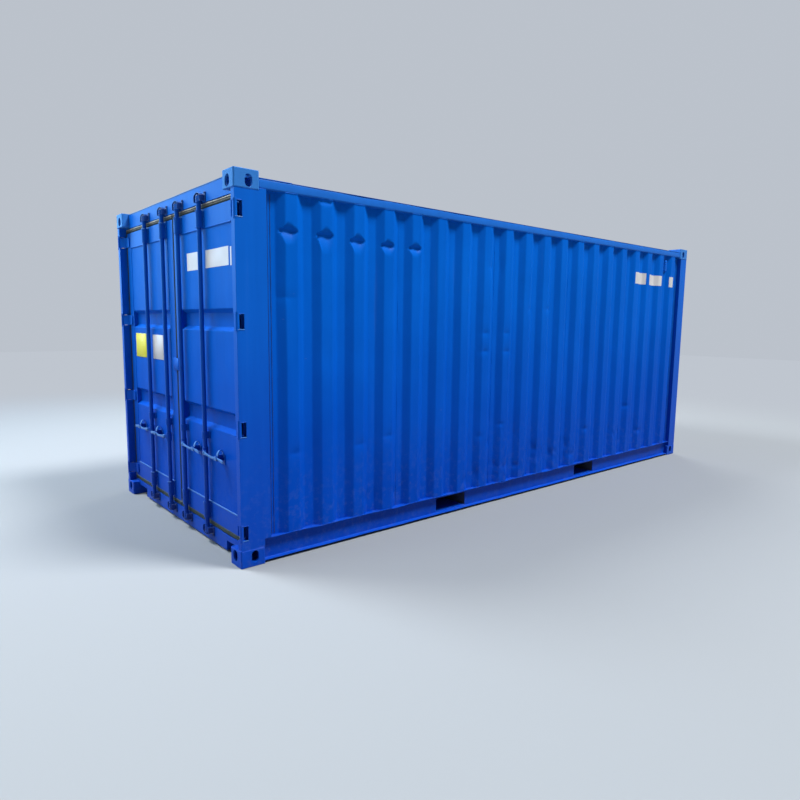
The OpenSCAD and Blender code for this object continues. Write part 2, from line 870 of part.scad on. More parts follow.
// Sheet with two pressed recesses, between the stiles and rails
module door_panel() {
    shift = -sheet * tan(atan(recess_depth / recess_slope) / 2);
    high_recess = height - high_recess_drop;
    front = concat([[door_face, panel_low]], recess_points(low_recess, 0),
                   recess_points(high_recess, 0), [[door_face, panel_high]]);
    back = concat([[door_face, panel_low]], recess_points(low_recess, shift),
                  recess_points(high_recess, shift), [[door_face, panel_high]]);
    color("royalblue") across(door_edge + outer_stile, door_meet - inner_stile)
        polygon(concat(front, [for (i = [len(back) - 1:-1:0]) back[i] + [sheet, 0]]));
}

// Rubber around a door, with a thin lip where the doors meet
module door_gasket() {
    front = door_face + seal_setback;
    color("dimgray") {
        difference() {
            block([front, post_inner + seal_gap, sill_h + seal_gap],
                  [front + seal_depth, door_meet, header_z - seal_gap]);
            block([front - lap, door_edge, door_low],
                  [front + seal_depth + lap, door_meet + lap, door_high]);
        }
        block([front, door_meet, sill_h + seal_gap],
              [front + lip_depth, half - lip_gap / 2, header_z - seal_gap]);
    }
}

// Blade in plan: from the knuckle through the notch to the face of the stile
module blade_plan() {
    root = knuckle_r - lap;
    polygon([[pin_in + root, pin_in], [pin_in, pin_in + root],
             [door_face - blade_t, door_edge + lap], [door_face - blade_t, blade_reach],
             [door_face, blade_reach], [door_face, door_edge + lap]]);
}

// Knuckle, blade and pin of each hinge
module door_hinges() {
    blade_top = hinge_notch_h / 2 - blade_gap;
    color("royalblue") each_hinge() {
        translate([pin_in, pin_in, 0]) {
            cylinder(r = knuckle_r, h = hinge_notch_h - 2 * knuckle_gap, center = true, $fn = 48);
            cylinder(r = pin_r, h = pin_l, center = true, $fn = 48);
        }
        intersection() {
            upright(-blade_top, blade_top) blade_plan();
            along(0, door_back) round_rect([-blade_reach, -blade_top], [blade_reach, blade_top],
                                           blade_corner_r);
        }
    }
}

// Guide around a lock bar from z0 to z1, standing on a face
module bar_guide(z0, z1, face) {
    difference() {
        union() {
            translate([bar_in, 0, z0]) cylinder(r = guide_r, h = z1 - z0, $fn = 48);
            block([bar_in, -guide_r, z0], [face, guide_r, z1]);
            across(-guide_r - guide_foot_w, guide_r + guide_foot_w)
                translate([face - guide_foot_t, z0]) square([guide_foot_t, z1 - z0]);
        }
        translate([bar_in, 0, z0 - lap])
            cylinder(r = bar_r + bar_clearance, h = z1 - z0 + 2 * lap, $fn = 48);
    }
}

// Catch that carries a handle's arm: back plate, shelf and seal lug
module handle_catch() {
    shelf_top = handle_z - arm_w / 2 - catch_gap;
    lug_front = handle_front + handle_t + catch_gap;
    translate([0, -catch_out, 0]) {
        block([door_face - catch_t, -catch_w / 2, shelf_top - catch_h / 2],
              [door_face, catch_w / 2, shelf_top + catch_h / 2]);
        block([handle_front, -catch_w / 3, shelf_top - catch_t], [door_face, catch_w / 3, shelf_top]);
        block([lug_front, -catch_t / 2, shelf_top - lap], [door_face, catch_t / 2, shelf_top + catch_h / 2]);
    }
}

// Guides and catches of one door
module door_fittings() {
    color("royalblue") for (place = bar_places) translate([0, half - place, 0]) {
        bar_guide(panel_high, panel_high + guide_h, rail_face);
        bar_guide(panel_low - guide_h, panel_low, rail_face);
        bar_guide(short_guide_z - short_guide_h / 2, short_guide_z + short_guide_h / 2, door_face);
        handle_catch();
    }
}

// Plate on the right door beside the middle gap
module overlap_plate() {
    color("royalblue")
        block([door_face - overlap_t, half - overlap_from_middle - overlap_w, overlap_z - overlap_h / 2],
              [door_face, half - overlap_from_middle, overlap_z + overlap_h / 2]);
}

module left_door_frame() { door_end(1) door_frame(); }
module left_door_panel() { door_end(1) door_panel(); }
module left_door_gasket() { door_end(1) door_gasket(); }
module left_door_hinges() { door_end(1) door_hinges(); }
module left_door_fittings() { door_end(1) door_fittings(); }
module right_door_frame() { door_end(-1) door_frame(); }
module right_door_panel() { door_end(-1) door_panel(); }
module right_door_gasket() { door_end(-1) door_gasket(); }
module right_door_hinges() { door_end(-1) door_hinges(); }
module right_door_fittings() {
    door_end(-1) {
        door_fittings();
        overlap_plate();
    }
}

// Lock bars and handles

// Forged cam from z upwards: round hub, and a nose that tapers on the handle's side
module cam(z) {
    tip = nose_reach - nose_t / 2;
    translate([bar_in, 0, z]) {
        cylinder(r = cam_r, h = cam_h, $fn = 48);
        translate([0, -tip, 0]) cylinder(d = nose_t, h = cam_h, $fn = 48);
        upright(0, cam_h)
            polygon([[-nose_t / 2, -tip], [nose_t / 2, -tip], [cam_r, 0], [-cam_r, 0]]);
    }
}

// Collar at the foot of a cam
module collar(z) {
    translate([bar_in, 0, z]) cylinder(r = collar_r, h = collar_h, $fn = 48);
}

// Bar with its two cams and the hub that carries the handle
module lock_bar(place) {
    lug_front = handle_front + handle_t + handle_gap;
    color("royalblue") translate([0, half - place, 0]) difference() {
        union() {
            translate([bar_in, 0, cam_low_z])
                cylinder(r = bar_r, h = cam_top_z + cam_h - cam_low_z, $fn = 48);
            cam(cam_low_z);
            cam(cam_top_z);
            collar(cam_low_z + cam_h);
            collar(cam_top_z - collar_h);
            translate([bar_in, 0, handle_z]) cylinder(r = hub_r, h = hub_h, center = true, $fn = 48);
            block([lug_front, -pivot_out, handle_z - eye_r],
                  [lug_front + hub_lug_t, 0, handle_z + eye_r]);
            translate([lug_front, -pivot_out, handle_z]) rotate([0, 90, 0])
                cylinder(r = eye_r, h = hub_lug_t, $fn = 48);
        }
        translate([lug_front - lap, -pivot_out, handle_z]) rotate([0, 90, 0])
            cylinder(r = pivot_r + pivot_clearance, h = hub_lug_t + 2 * lap, $fn = 48);
    }
}

// Flat handle with a round eye, a waist and its pivot pin
module handle(place) {
    arm = handle_reach - pivot_out - arm_w / 2;
    color("royalblue") translate([handle_front, half - place - pivot_out, handle_z]) rotate([0, 90, 0]) {
        cylinder(r = eye_r, h = handle_t, $fn = 48);
        cylinder(r = pivot_r, h = handle_t + handle_gap + hub_lug_t, $fn = 48);
        linear_extrude(handle_t)
            polygon([[-eye_r, 0], [-waist_w / 2, -waist_out], [-arm_w / 2, -2 * waist_out],
                     [-arm_w / 2, -arm], [arm_w / 2, -arm], [arm_w / 2, -2 * waist_out],
                     [waist_w / 2, -waist_out], [eye_r, 0]]);
        translate([0, -arm, 0]) cylinder(d = arm_w, h = handle_t, $fn = 48);
    }
}

module lock_bar_1() { door_end(1) lock_bar(outer_bar); }
module lock_bar_2() { door_end(1) lock_bar(inner_bar); }
module lock_bar_3() { door_end(-1) lock_bar(inner_bar); }
module lock_bar_4() { door_end(-1) lock_bar(outer_bar); }
module handle_1() { door_end(1) handle(outer_bar); }
module handle_2() { door_end(1) handle(inner_bar); }
module handle_3() { door_end(-1) handle(inner_bar); }
module handle_4() { door_end(-1) handle(outer_bar); }

bottom_castings();
top_castings();
door_post_left();
door_post_right();
end_post_left();
end_post_right();
door_header();
door_sill();
end_top_rail();
end_bottom_rail();
top_rail_left();
top_rail_right();
bottom_rail_left();
bottom_rail_right();
side_wall_left();
side_wall_right();
end_wall();
roof_panel();
roof_corner_plates();
ventilators();
floor_boards();
floor_centre_rail();
cross_members();
pocket_plates();
pocket_sides();
pocket_straps();
cam_keepers();
left_door_frame();
left_door_panel();
left_door_gasket();
left_door_hinges();
left_door_fittings();
right_door_frame();
right_door_panel();
right_door_gasket();
right_door_hinges();
right_door_fittings();
lock_bar_1();
lock_bar_2();
lock_bar_3();
lock_bar_4();
handle_1();
handle_2();
handle_3();
handle_4();
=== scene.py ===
import json
import math

import bpy
import numpy as np
from mathutils import Matrix, Vector


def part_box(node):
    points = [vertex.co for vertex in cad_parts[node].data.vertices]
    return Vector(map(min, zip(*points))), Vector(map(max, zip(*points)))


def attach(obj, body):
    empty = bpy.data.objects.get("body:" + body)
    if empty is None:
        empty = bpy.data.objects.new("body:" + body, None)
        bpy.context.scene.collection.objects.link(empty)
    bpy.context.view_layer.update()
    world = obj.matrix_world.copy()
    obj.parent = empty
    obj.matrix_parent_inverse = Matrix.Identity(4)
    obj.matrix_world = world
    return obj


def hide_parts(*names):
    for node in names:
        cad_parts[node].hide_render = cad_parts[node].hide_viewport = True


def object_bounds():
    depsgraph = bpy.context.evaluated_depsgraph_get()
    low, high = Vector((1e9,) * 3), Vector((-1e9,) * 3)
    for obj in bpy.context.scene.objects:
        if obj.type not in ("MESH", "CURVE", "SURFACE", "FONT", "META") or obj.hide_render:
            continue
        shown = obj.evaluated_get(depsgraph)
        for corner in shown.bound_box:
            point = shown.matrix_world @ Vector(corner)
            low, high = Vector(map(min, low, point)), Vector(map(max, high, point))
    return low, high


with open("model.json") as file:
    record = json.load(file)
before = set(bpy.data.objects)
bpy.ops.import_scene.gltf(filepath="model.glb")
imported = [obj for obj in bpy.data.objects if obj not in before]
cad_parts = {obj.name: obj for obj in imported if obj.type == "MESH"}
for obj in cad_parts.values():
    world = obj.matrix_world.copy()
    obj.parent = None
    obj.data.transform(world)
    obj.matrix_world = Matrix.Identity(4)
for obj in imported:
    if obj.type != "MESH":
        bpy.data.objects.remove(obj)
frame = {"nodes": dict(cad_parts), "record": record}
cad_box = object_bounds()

# Lengths are in metres. A place on one side is (in from the door end, in from the side face, up).
SEED = 20
LENGTH, WIDTH, HEIGHT = (high - low for low, high in zip(*cad_box))
RIGHT, LEFT = -1, 1
SIDE_NAMES = {RIGHT: "right", LEFT: "left"}
DOORS = {RIGHT: "right_door", LEFT: "left_door"}
UP, INWARDS, OUTWARDS = (0, 0, 1), (0, 1, 0), (0, -1, 0)

# Side walls: the waves, their bends, how far in their crests are, the sheets and their unevenness
WAVE_PITCH, WAVE_FLAT, WAVE_SLOPE, WAVE_DEPTH = 0.2795, 0.09, 0.06, 0.036
BEND_EASE, CREST_IN, SHEET = 0.007, 0.008, 0.002
SHEETS_A_SIDE, WAVES_A_SHEET, SEAM_SHIFT = 5, 4, 0.57
WALL_SWAY, DOOR_SWAY = 0.0011, 0.0022
# Steps along the wall: the widest, at bends, on dented crests and where it is battered
WIDE_STEP, BEND_REACH, BEND_STEP = 0.022, 0.009, 0.004
DENTED_END, DENTED_CREST, CREST_STEP, BATTERED_ZONE = 1.65, 0.075, 0.0075, (2.0, 5.2, 0.012)
# Steps up the wall: the widest, then zones (from, to, step), and more of them on each dented sheet
TALL_STEP = 0.06
WALL_ZONES = [(0.17, 0.8, 0.022), (2.4, 2.49, 0.012)]
DENTED_ZONES = [[(2.08, 2.33, 0.006), (1.74, 1.88, 0.012), (0.68, 0.82, 0.012)],
                [(2.04, 2.3, 0.0075), (1.34, 1.62, 0.012)],
                [(1.34, 1.86, 0.012), (0.17, 0.8, 0.011)],
                [(0.17, 0.8, 0.012)], [(0.17, 0.8, 0.012)]]

# Creased dents on the first flats: centre, half width, crease height, top, foot, depth
CREASED_DENTS = [
    (0.394, 0.062, 2.252, 2.318, 2.128, 0.031), (0.686, 0.066, 2.249, 2.312, 2.09, 0.031),
    (0.961, 0.06, 2.238, 2.302, 2.118, 0.029), (1.243, 0.06, 2.23, 2.284, 2.138, 0.026),
    (1.518, 0.058, 2.233, 2.283, 2.15, 0.024), (0.69, 0.055, 2.478, 2.5, 2.42, 0.01),
]
# Their forms: ledge under the crease, then above and below it the power of the return, the width
# left at its end and the power of the narrowing, then the steepness of the near and far side
CREASE_LEDGE, CREASE_SOFT = 0.014, 0.014
RISE_POWER, RISE_WIDTH, RISE_NARROWING = 2.3, 0.12, 3.2
FALL_POWER, FALL_WIDTH, FALL_NARROWING = 2.0, 0.26, 1.3
NEAR_STEEPNESS, FAR_STEEPNESS, FAR_REACH = 2.4, 1.1, 0.3
# Shallow level creases: centre, height, half width, half height, depth
SHALLOW_CREASES = [
    (0.374, 1.806, 0.075, 0.04, 0.0069), (0.43, 0.735, 0.05, 0.03, 0.0092),
    (0.996, 0.731, 0.058, 0.03, 0.0092), (1.267, 0.765, 0.058, 0.03, 0.008),
    (2.362, 1.565, 0.045, 0.024, 0.0092), (2.644, 1.565, 0.038, 0.024, 0.008),
    (2.364, 1.403, 0.05, 0.026, 0.0092), (2.663, 1.397, 0.056, 0.026, 0.0092),
    (2.993, 1.787, 0.045, 0.024, 0.008), (3.262, 1.793, 0.052, 0.024, 0.008),
    (2.494, 2.14, 0.085, 0.08, 0.023), (0.69, 1.42, 0.05, 0.06, 0.0069),
    (3.9, 0.9, 0.06, 0.04, 0.0069), (4.46, 1.18, 0.05, 0.05, 0.0058),
]
# Round knocks low down, in the same order of numbers
LOW_KNOCKS = [
    (1.09, 0.295, 0.05, 0.03, 0.01), (1.338, 0.3, 0.028, 0.03, 0.008),
    (2.17, 0.26, 0.06, 0.04, 0.01), (2.29, 0.3, 0.03, 0.06, 0.008),
    (2.322, 0.641, 0.03, 0.02, 0.008), (2.448, 0.57, 0.03, 0.025, 0.008),
    (2.611, 0.724, 0.032, 0.02, 0.007), (2.544, 0.341, 0.03, 0.03, 0.009),
    (2.698, 0.319, 0.028, 0.03, 0.008), (2.857, 0.296, 0.034, 0.026, 0.008),
    (3.12, 0.42, 0.06, 0.05, 0.01), (3.36, 0.33, 0.07, 0.04, 0.012),
    (3.64, 0.4, 0.06, 0.05, 0.01), (3.76, 0.29, 0.04, 0.03, 0.008),
    (4.004, 0.536, 0.034, 0.024, 0.008), (4.741, 0.333, 0.034, 0.026, 0.008),
    (4.816, 0.72, 0.06, 0.024, 0.007), (5.132, 0.4, 0.05, 0.026, 0.008),
]
# Battered stretches low down, in the same order of numbers
BATTERED = [(2.62, 0.3, 0.22, 0.07, 0.003), (3.22, 0.36, 0.2, 0.09, 0.004),
            (3.62, 0.36, 0.16, 0.1, 0.0045), (2.72, 0.62, 0.16, 0.08, 0.0025),
            (4.6, 0.4, 0.16, 0.1, 0.0035), (4.98, 0.42, 0.1, 0.12, 0.003)]

# Castings, fork pockets and rails
CASTING_L, CASTING_W, CASTING_H = 0.178, 0.162, 0.118
POCKETS = (2.004, 4.054)
POCKET_W, POCKET_LOW, POCKET_HIGH = 0.355, 0.033, 0.148
RAIL_PLATE, RAIL_BEND, RAIL_STEP = 0.0045, 0.004, 0.045
TUBE_BEND, TUBE_KNOCK, LIP_NUDGE, LIP_SAG = 0.008, 0.0016, 0.0012, 0.0014
# Knocks down on the rails' upper lips: place, half length, depth
LIP_KNOCKS = [(0.62, 0.05, 0.003), (1.36, 0.09, 0.004), (2.66, 0.06, 0.005),
              (3.35, 0.12, 0.004), (4.72, 0.07, 0.005), (5.4, 0.05, 0.003)]

# Doors and their seals
DOOR_FACE = 0.067
DOOR_LOW, DOOR_HIGH = 0.171, 2.422
DOOR_EDGE, DOOR_MEET = 0.073, 1.205
STILE_IN, STILE_FACE = 0.177, 0.067
RECESSES = (0.947, 1.653)
RECESS_H, RECESS_SLOPE, RECESS_DEPTH, RECESS_EASE = 0.152, 0.027, 0.036, 0.003
# Soft knocks in the door skins: height, place across, depth, and their half width and height
DOOR_KNOCKS = {RIGHT: [(2.12, 0.45, 0.0022), (1.22, 0.8, 0.0018), (0.52, 0.62, 0.003),
                       (0.43, 0.3, 0.002)],
               LEFT: [(2.05, 0.7, 0.002), (0.6, 0.4, 0.0025), (1.18, 0.52, 0.0015)]}
KNOCK_W, KNOCK_H, RIM_FADE = 0.07, 0.05, 0.08
# Section of a seal: share of the gap from the steel to the door, depth behind its front
SEAL_SECTION = [(0.0, 0.03), (0.0, 0.008), (0.03, 0.002), (0.1, -0.0025), (0.2, -0.0045),
                (0.32, -0.005), (0.42, -0.0035), (0.48, -0.001), (0.53, -0.0028),
                (0.64, -0.0035), (0.76, -0.002), (0.87, 0.0015), (0.95, 0.006), (1.0, 0.011),
                (1.0, 0.03)]
# Section of the tongue where the doors meet: depth, share of its width
TONGUE = [(0.0, 0.0), (0.0, 0.6), (0.0025, 1.0), (0.0055, 1.0), (0.01, 0.75), (0.01, 0.0)]

# Locking gear: bars in from the side face, outer one first, and the other places
RAIL_FACE, HEADER_FACE = 0.063, 0.062
BARS, BAR_IN = (0.639, 1.054), 0.038
BAR_NUMBERS = {RIGHT: (4, 3), LEFT: (1, 2)}
LONG_GUIDES, GUIDE_H, GUIDE_R = (0.193, 2.29), 0.12, 0.0222
SHORT_GUIDE = 0.815
GUIDE_FOOT, GUIDE_BOLT_OUT = 0.005, 0.029
# Rims of a long guide: drop from its upper end, half thickness
GUIDE_RIMS = ((0.014, 0.0018), (0.027, 0.0018), (GUIDE_H - 0.003, 0.0024))
GUIDE_LIP = ((0.003, 0.0042),)
CAMS, CAM_H = (0.083, 2.47), 0.04
# Keepers: the feet beside the bar, their corners and bolts, the ribs over the ears and the vault
FOOT_OUT, FOOT_SIZE, FOOT_FACE, FOOT_AWAY = 0.06, (0.03, 0.07), 0.0555, 0.01
FOOT_CORNER, BOLT_OUT, BOLT_STEP = 0.01, 0.003, 0.027
RIB_FROM, RIB_TO, RIB_OUT, RIB_SPREAD, RIB_HALF = 0.0235, 0.054, 0.0485, 0.012, (0.0058, 0.003)
VAULT_FRONT, VAULT_L, VAULT_T, VAULT_HALF = 0.0245, 0.038, 0.0045, 0.05
VAULT_OUT, VAULT_RISE, VAULT_DROP = 0.0215, 0.0165, 0.004
# Profile of a bar's domed end (rise, radius), and the rings around its cam
BAR_END = ((-0.001, 0.015), (0.003, 0.015), (0.006, 0.0135), (0.0085, 0.0095), (0.0095, 0.004))
RING_R, RING_T = 0.018, 0.0028
HANDLE_IN, HANDLE_Z, PIVOT_OUT, CATCH_OUT = 0.01, 0.69, 0.038, 0.25
# The handle's rounded tip, and the power that makes its section squarish
TIP_L, TIP_EASE, SQUARISH = 0.006, 0.0082, 0.55
# Shape of a handle: place from the bar's centre, height, half width, half thickness
HANDLE_SHAPE = [(0.04, 0.0, 0.015, 0.0038), (0.058, -0.001, 0.0125, 0.0038),
                (0.085, -0.003, 0.009, 0.0038), (0.13, -0.008, 0.0082, 0.004),
                (0.185, -0.011, 0.0085, 0.004), (0.225, -0.003, 0.008, 0.004),
                (0.275, -0.003, 0.008, 0.004), (0.305, -0.006, 0.0095, 0.004),
                (0.335, -0.01, 0.0115, 0.004), (0.365, -0.013, 0.011, 0.004)]
# Profiles (depth, radius) of a handle's eye, its pin and the pin's cap
HANDLE_PIVOT = (((0.014, 0.015), (0.013, 0.016), (0.007, 0.016), (0.006, 0.015)),
                ((0.0245, 0.006), (0.0235, 0.007), (0.0055, 0.007)),
                ((0.0065, 0.0105), (0.004, 0.0105), (0.0022, 0.0085), (0.0016, 0.004)))
# Strips of a handle's catch: path (depth, height), half widths along it, thickness
CATCH_LIP = ([(0.016, 0.6715), (0.01, 0.6712), (0.005, 0.6722), (0.0028, 0.676),
              (0.0024, 0.683), (0.0026, 0.69), (0.0032, 0.697), (0.004, 0.704)],
             (0.021, 0.022, 0.022, 0.018, 0.006), 0.003)
CATCH_ARCH = ([(0.0625, 0.7), (0.0615, 0.72), (0.056, 0.736), (0.046, 0.742),
               (0.036, 0.74), (0.028, 0.731), (0.0225, 0.72), (0.02, 0.71),
               (0.0195, 0.702)], (0.006, 0.006, 0.006, 0.007, 0.012, 0.015), 0.0045)

# Hinges: their centres, and the depth and height of the notch in the post
HINGES = [0.24 + i * (HEIGHT - 0.246 - 0.24) / 3 for i in range(4)]
NOTCH_L, NOTCH_H = 0.057, 0.1

# Beads: half width, half height, corners of the section, share by which its size swells
BEADS = {"sheet_seam": (0.0045, 0.0024, 8, 0.12), "sheet_edge": (0.0032, 0.0032, 6, 0.15),
         "door_rail": (0.0055, 0.0055, 8, 0.1), "door_stile": (0.003, 0.003, 6, 0.15),
         "post": (0.0035, 0.0035, 8, 0.15), "notch_level": (0.003, 0.003, 8, 0.06),
         "notch_back": (0.0026, 0.0026, 8, 0.12), "sealant": (0.0034, 0.0024, 8, 0.2),
         "header": (0.0042, 0.0052, 8, 0.0)}
# Domed heads: radius, height
HEADS = {"guide": (0.0058, 0.0042), "short_guide": (0.0052, 0.004), "keeper": (0.0062, 0.005),
         "catch": (0.0048, 0.0035), "film": (0.0038, 0.0022)}
# Weld beads of the posts, in from their faces; dark lines in from each end of a side wall, the
# nearer a painted shadow where the wall meets the post, the farther sealant
POST_BEAD_IN, SEALANT_AND_SHADE_PLACES = 0.0045, (0.025, 0.045)
HEADER_BEAD_IN, HEADER_BEAD_Z = 0.064, 2.5815

# Blank fields: along and up, on the side wall and on the right door
WALL_FIELDS = [((4.859, 5.108), (2.124, 2.251)), ((5.174, 5.466), (2.122, 2.24)),
               ((5.665, 5.744), (2.118, 2.24))]
DOOR_FIELDS = [((0.737, 0.953), (2.012, 2.14)), ((0.238, 0.612), (2.014, 2.138)),
               ((0.191, 0.212), (2.01, 2.132))]
# A film's two faces behind the sheet's, a blank plate's back and front, the place of its heads
FILM_FACES, PLATE_BACK, PLATE_FRONT, PLATE_HEAD_IN = (-0.0007, 0.0004), 0.0008, 0.0652, 0.01
# Overlap plate: height, size, front and back
OVERLAP_Z, OVERLAP_SIZE, OVERLAP_FRONT, OVERLAP_BACK = 1.3, (0.116, 0.097), 0.054, 0.0645

# End wall, roof and ventilators
END_PITCH, END_FLAT, END_SLOPE, END_DEPTH = 0.25, 0.1, 0.035, 0.0456
ROOF_PITCH, ROOF_FLAT, ROOF_SLOPE, ROOF_RISE = 0.209, 0.091, 0.018, 0.02
ROOF_BORDER, ROOF_TOP, ROOF_EASE, ROOF_BLEND = 0.1, 2.548, 0.004, 0.15
# The roof's sag, and how far from its sides and its ends it reaches full depth
ROOF_SAG, SAG_SIDE, SAG_END = 0.0035, 0.25, 0.3
HOODS, HOOD_RISE, COVER_RISE = 5, 0.007, 0.016
# Shares of a ventilator cover's half size: edges of its dome, then of the hoods the half width,
# the fade of their ends and the half height of their column
DOME_EDGE_W, DOME_EDGE_H, HOOD_HALF, HOOD_EASE, COLUMN_HALF = 0.22, 0.1, 0.72, 0.15, 0.86

# Floor boards and the screws along each cross member
BOARD_L, SCREW_PITCH, SCREW_ROW = 1.2, 0.3, 0.1

# Green and blue of the paint, at the foot and at the top: deep tone, fresh tone. The foot's are
# darker as painted shade, the top's lighter as painted sky sheen
PAINT_TONES = (((0.05, 0.4), (0.064, 0.455)), ((0.098, 0.48), (0.12, 0.56)))
# Studio: floor and backdrop colours, where one fades into the other, and the sky's own light
FLOOR_COLOUR, BACKDROP, SKY_LIGHT = (0.26, 0.27, 0.28), (0.5, 0.54, 0.6), (0.11, 0.14, 0.19)
FADE_FROM, FADE_TO, BLACK = 4.5, 11.5, (0.0, 0.0, 0.0)
# Lamps: place, size, power, tint
LAMPS = {"door_lamp": ((-6.6, 5.2, 11.5), 5.0, 2150, (0.92, 0.97, 1.0)),
         "front_lamp": ((-10.0, 2.0, 9.0), 5.0, 430, (0.8, 0.92, 1.0)),
         "yard_lamp": ((-6.5, 10.5, 5.0), 7.0, 560, (0.22, 0.6, 1.0)),
         "side_lamp": ((6.5, -12.2, 27.0), 9.0, 14400, (0.95, 0.98, 1.0)),
         "back_lamp": ((8.0, 7.0, 7.0), 7.0, 700, (0.95, 0.98, 1.0))}


class Signal:
    """A socket in sums: each operator on it adds one Math node to its tree."""

    def __init__(self, nodes, socket):
        self.nodes, self.socket = nodes, socket

    def math(self, operation, first, second):
        return self.nodes.add("ShaderNodeMath", {"operation": operation}, {0: first, 1: second})

    def __add__(self, other):
        return self.math("ADD", self, other)

    def __sub__(self, other):
        return self.math("SUBTRACT", self, other)

    def __rsub__(self, other):
        return self.math("SUBTRACT", other, self)

    def __mul__(self, other):
        return self.math("MULTIPLY", self, other)

    __radd__ = __add__
    __rmul__ = __mul__

    def folded(self, length):
        """Distance from the nearest whole multiple of twice the length."""
        return self.math("PINGPONG", self, length)

    def between(self, low, high):
        """0 below low, 1 above high, and a smooth step from one to the other."""
        return self.nodes.add("ShaderNodeMapRange", {"interpolation_type": "SMOOTHSTEP"},
                              {"Value": self, "From Min": low, "From Max": high})


class Nodes:
    """A node tree, with the one way in which nodes are added to it."""

    def __init__(self, tree):
        self.tree = tree

    def add(self, kind, settings, inputs, out=0):
        """Any node: its type, its settings, the values or links of its sockets, its output."""
        node = self.tree.nodes.new(kind)
        for key, value in settings.items():
            setattr(node, key, value)
        for key, value in inputs.items():
            self.feed(node.inputs[key], value)
        return Signal(self, node.outputs[out])

    def feed(self, socket, value):
        if isinstance(value, Signal):
            self.tree.links.new(value.socket, socket)
        else:
            socket.default_value = value

    def mix(self, share, first, second):
        """Colour between two colours, each a signal or (red, green, blue)."""
        first, second = (tint if isinstance(tint, Signal) else (*tint, 1.0)
                         for tint in (first, second))
        return self.add("ShaderNodeMix", {"data_type": "RGBA"}, {0: share, 6: first, 7: second}, 2)


class Finish(Nodes):
    """One material, built from nodes that read Object coordinates."""

    def __init__(self, name, roughness, specular):
        self.material = bpy.data.materials.new(name)
        self.material.use_nodes = True
        super().__init__(self.material.node_tree)
        self.shader = self.tree.nodes["Principled BSDF"]
        self.shader.inputs["Roughness"].default_value = roughness
        self.shader.inputs["Specular IOR Level"].default_value = specular
        self.place = self.add("ShaderNodeTexCoord", {}, {}, "Object")

    def give(self, **inputs):
        """Feeds the shader's own sockets: base_color, roughness, normal and so on."""
        for key, value in inputs.items():
            self.feed(self.shader.inputs[key.replace("_", " ").title()], value)

    def stretched(self, x, y, z):
        """Object coordinates, each axis multiplied by its own number."""
        return self.add("ShaderNodeVectorMath", {"operation": "MULTIPLY"},
                        {0: self.place, 1: (x, y, z)})

    def noise(self, scale, detail, roughness=0.5, place=None):
        """Cloudy pattern from 0 to 1, with scale in cells a metre."""
        return self.add("ShaderNodeTexNoise", {},
                        {"Vector": place or self.place, "Scale": scale, "Detail": detail,
                         "Roughness": roughness}, "Fac")

    def axis(self, name):
        """One of the Object coordinates, in metres."""
        return self.add("ShaderNodeSeparateXYZ", {}, {0: self.place}, name)

    def bump(self, height, distance, normal=None):
        """Normal of a surface raised by height times distance, in metres."""
        inputs = {"Height": height, "Distance": distance, "Strength": 1.0}
        if normal:
            inputs["Normal"] = normal
        return self.add("ShaderNodeBump", {}, inputs)

    def soft_edges(self, radius):
        """Normal of the same surface with its sharp edges rounded to a radius in metres."""
        return self.add("ShaderNodeBevel", {"samples": 4}, {"Radius": radius})


def blue_paint(name, edge=None, shade=1.0, gloss=0.03, faded=(0.0, 0.0), grain=(170.0, 0.00025)):
    """Semi-gloss blue coat, darker towards the ground as painted shade and lighter towards the top
    as painted sky sheen: cloudy shifts of tone, runs down the sheet, dust low down, scuffs. Faded
    gives its share of chalk at the foot and at the top, partly fading and partly painted
    highlight, shade darkens the whole coat, and grain gives the scale and depth of its texture."""
    finish = Finish(name, roughness=0.42, specular=gloss)
    clouds = finish.noise(0.9, 4.0, 0.6)
    runs = finish.noise(1.0, 4.0, 0.6, finish.stretched(14.0, 14.0, 0.8))
    specks = finish.noise(26.0, 3.0, 0.7)
    height = finish.axis("Z")
    tone = clouds.between(0.3, 0.7) * 0.6 + runs.between(0.35, 0.7) * 0.4
    # Painted light: the coat turns lighter with height, as painted shade low down and painted sky
    # sheen high up
    up = height.between(0.1, 2.3)
    low_paint, high_paint = (
        finish.mix(tone, (0.0004, deep[0] * shade, deep[1] * shade),
                   (0.0010, fresh[0] * shade, fresh[1] * shade)) for deep, fresh in PAINT_TONES)
    paint = finish.mix(up, low_paint, high_paint)
    # Pale chalk, rising with height where its two shares differ: partly fading, partly painted
    # highlight
    if max(faded) > 0:
        paint = finish.mix(faded[0] + up * (faded[1] - faded[0]), paint, (0.16, 0.45, 0.50))
    low_down = 1.0 - height.between(0.05, 1.0)
    dust = low_down * specks.between(0.45, 0.75) * 0.10 + runs.between(0.62, 0.8) * 0.03
    paint = finish.mix(dust, paint, (0.20, 0.24, 0.30))
    scratches = finish.noise(5.0, 3.0, 0.6, finish.stretched(2.2, 2.2, 9.0)).between(0.70, 0.78)
    marks = scratches * finish.noise(1.7, 1.0).between(0.5, 0.7) * 0.14
    peel, swell = finish.noise(grain[0], 2.0), finish.noise(4.5, 1.0)
    waved = finish.bump(swell, 0.0018, finish.soft_edges(edge) if edge else None)
    finish.give(base_color=finish.mix(marks, paint, (0.30, 0.42, 0.62)),
                roughness=0.36 + clouds * 0.12 + dust * 0.8,
                normal=finish.bump(peel, grain[1], waved))
    return finish.material


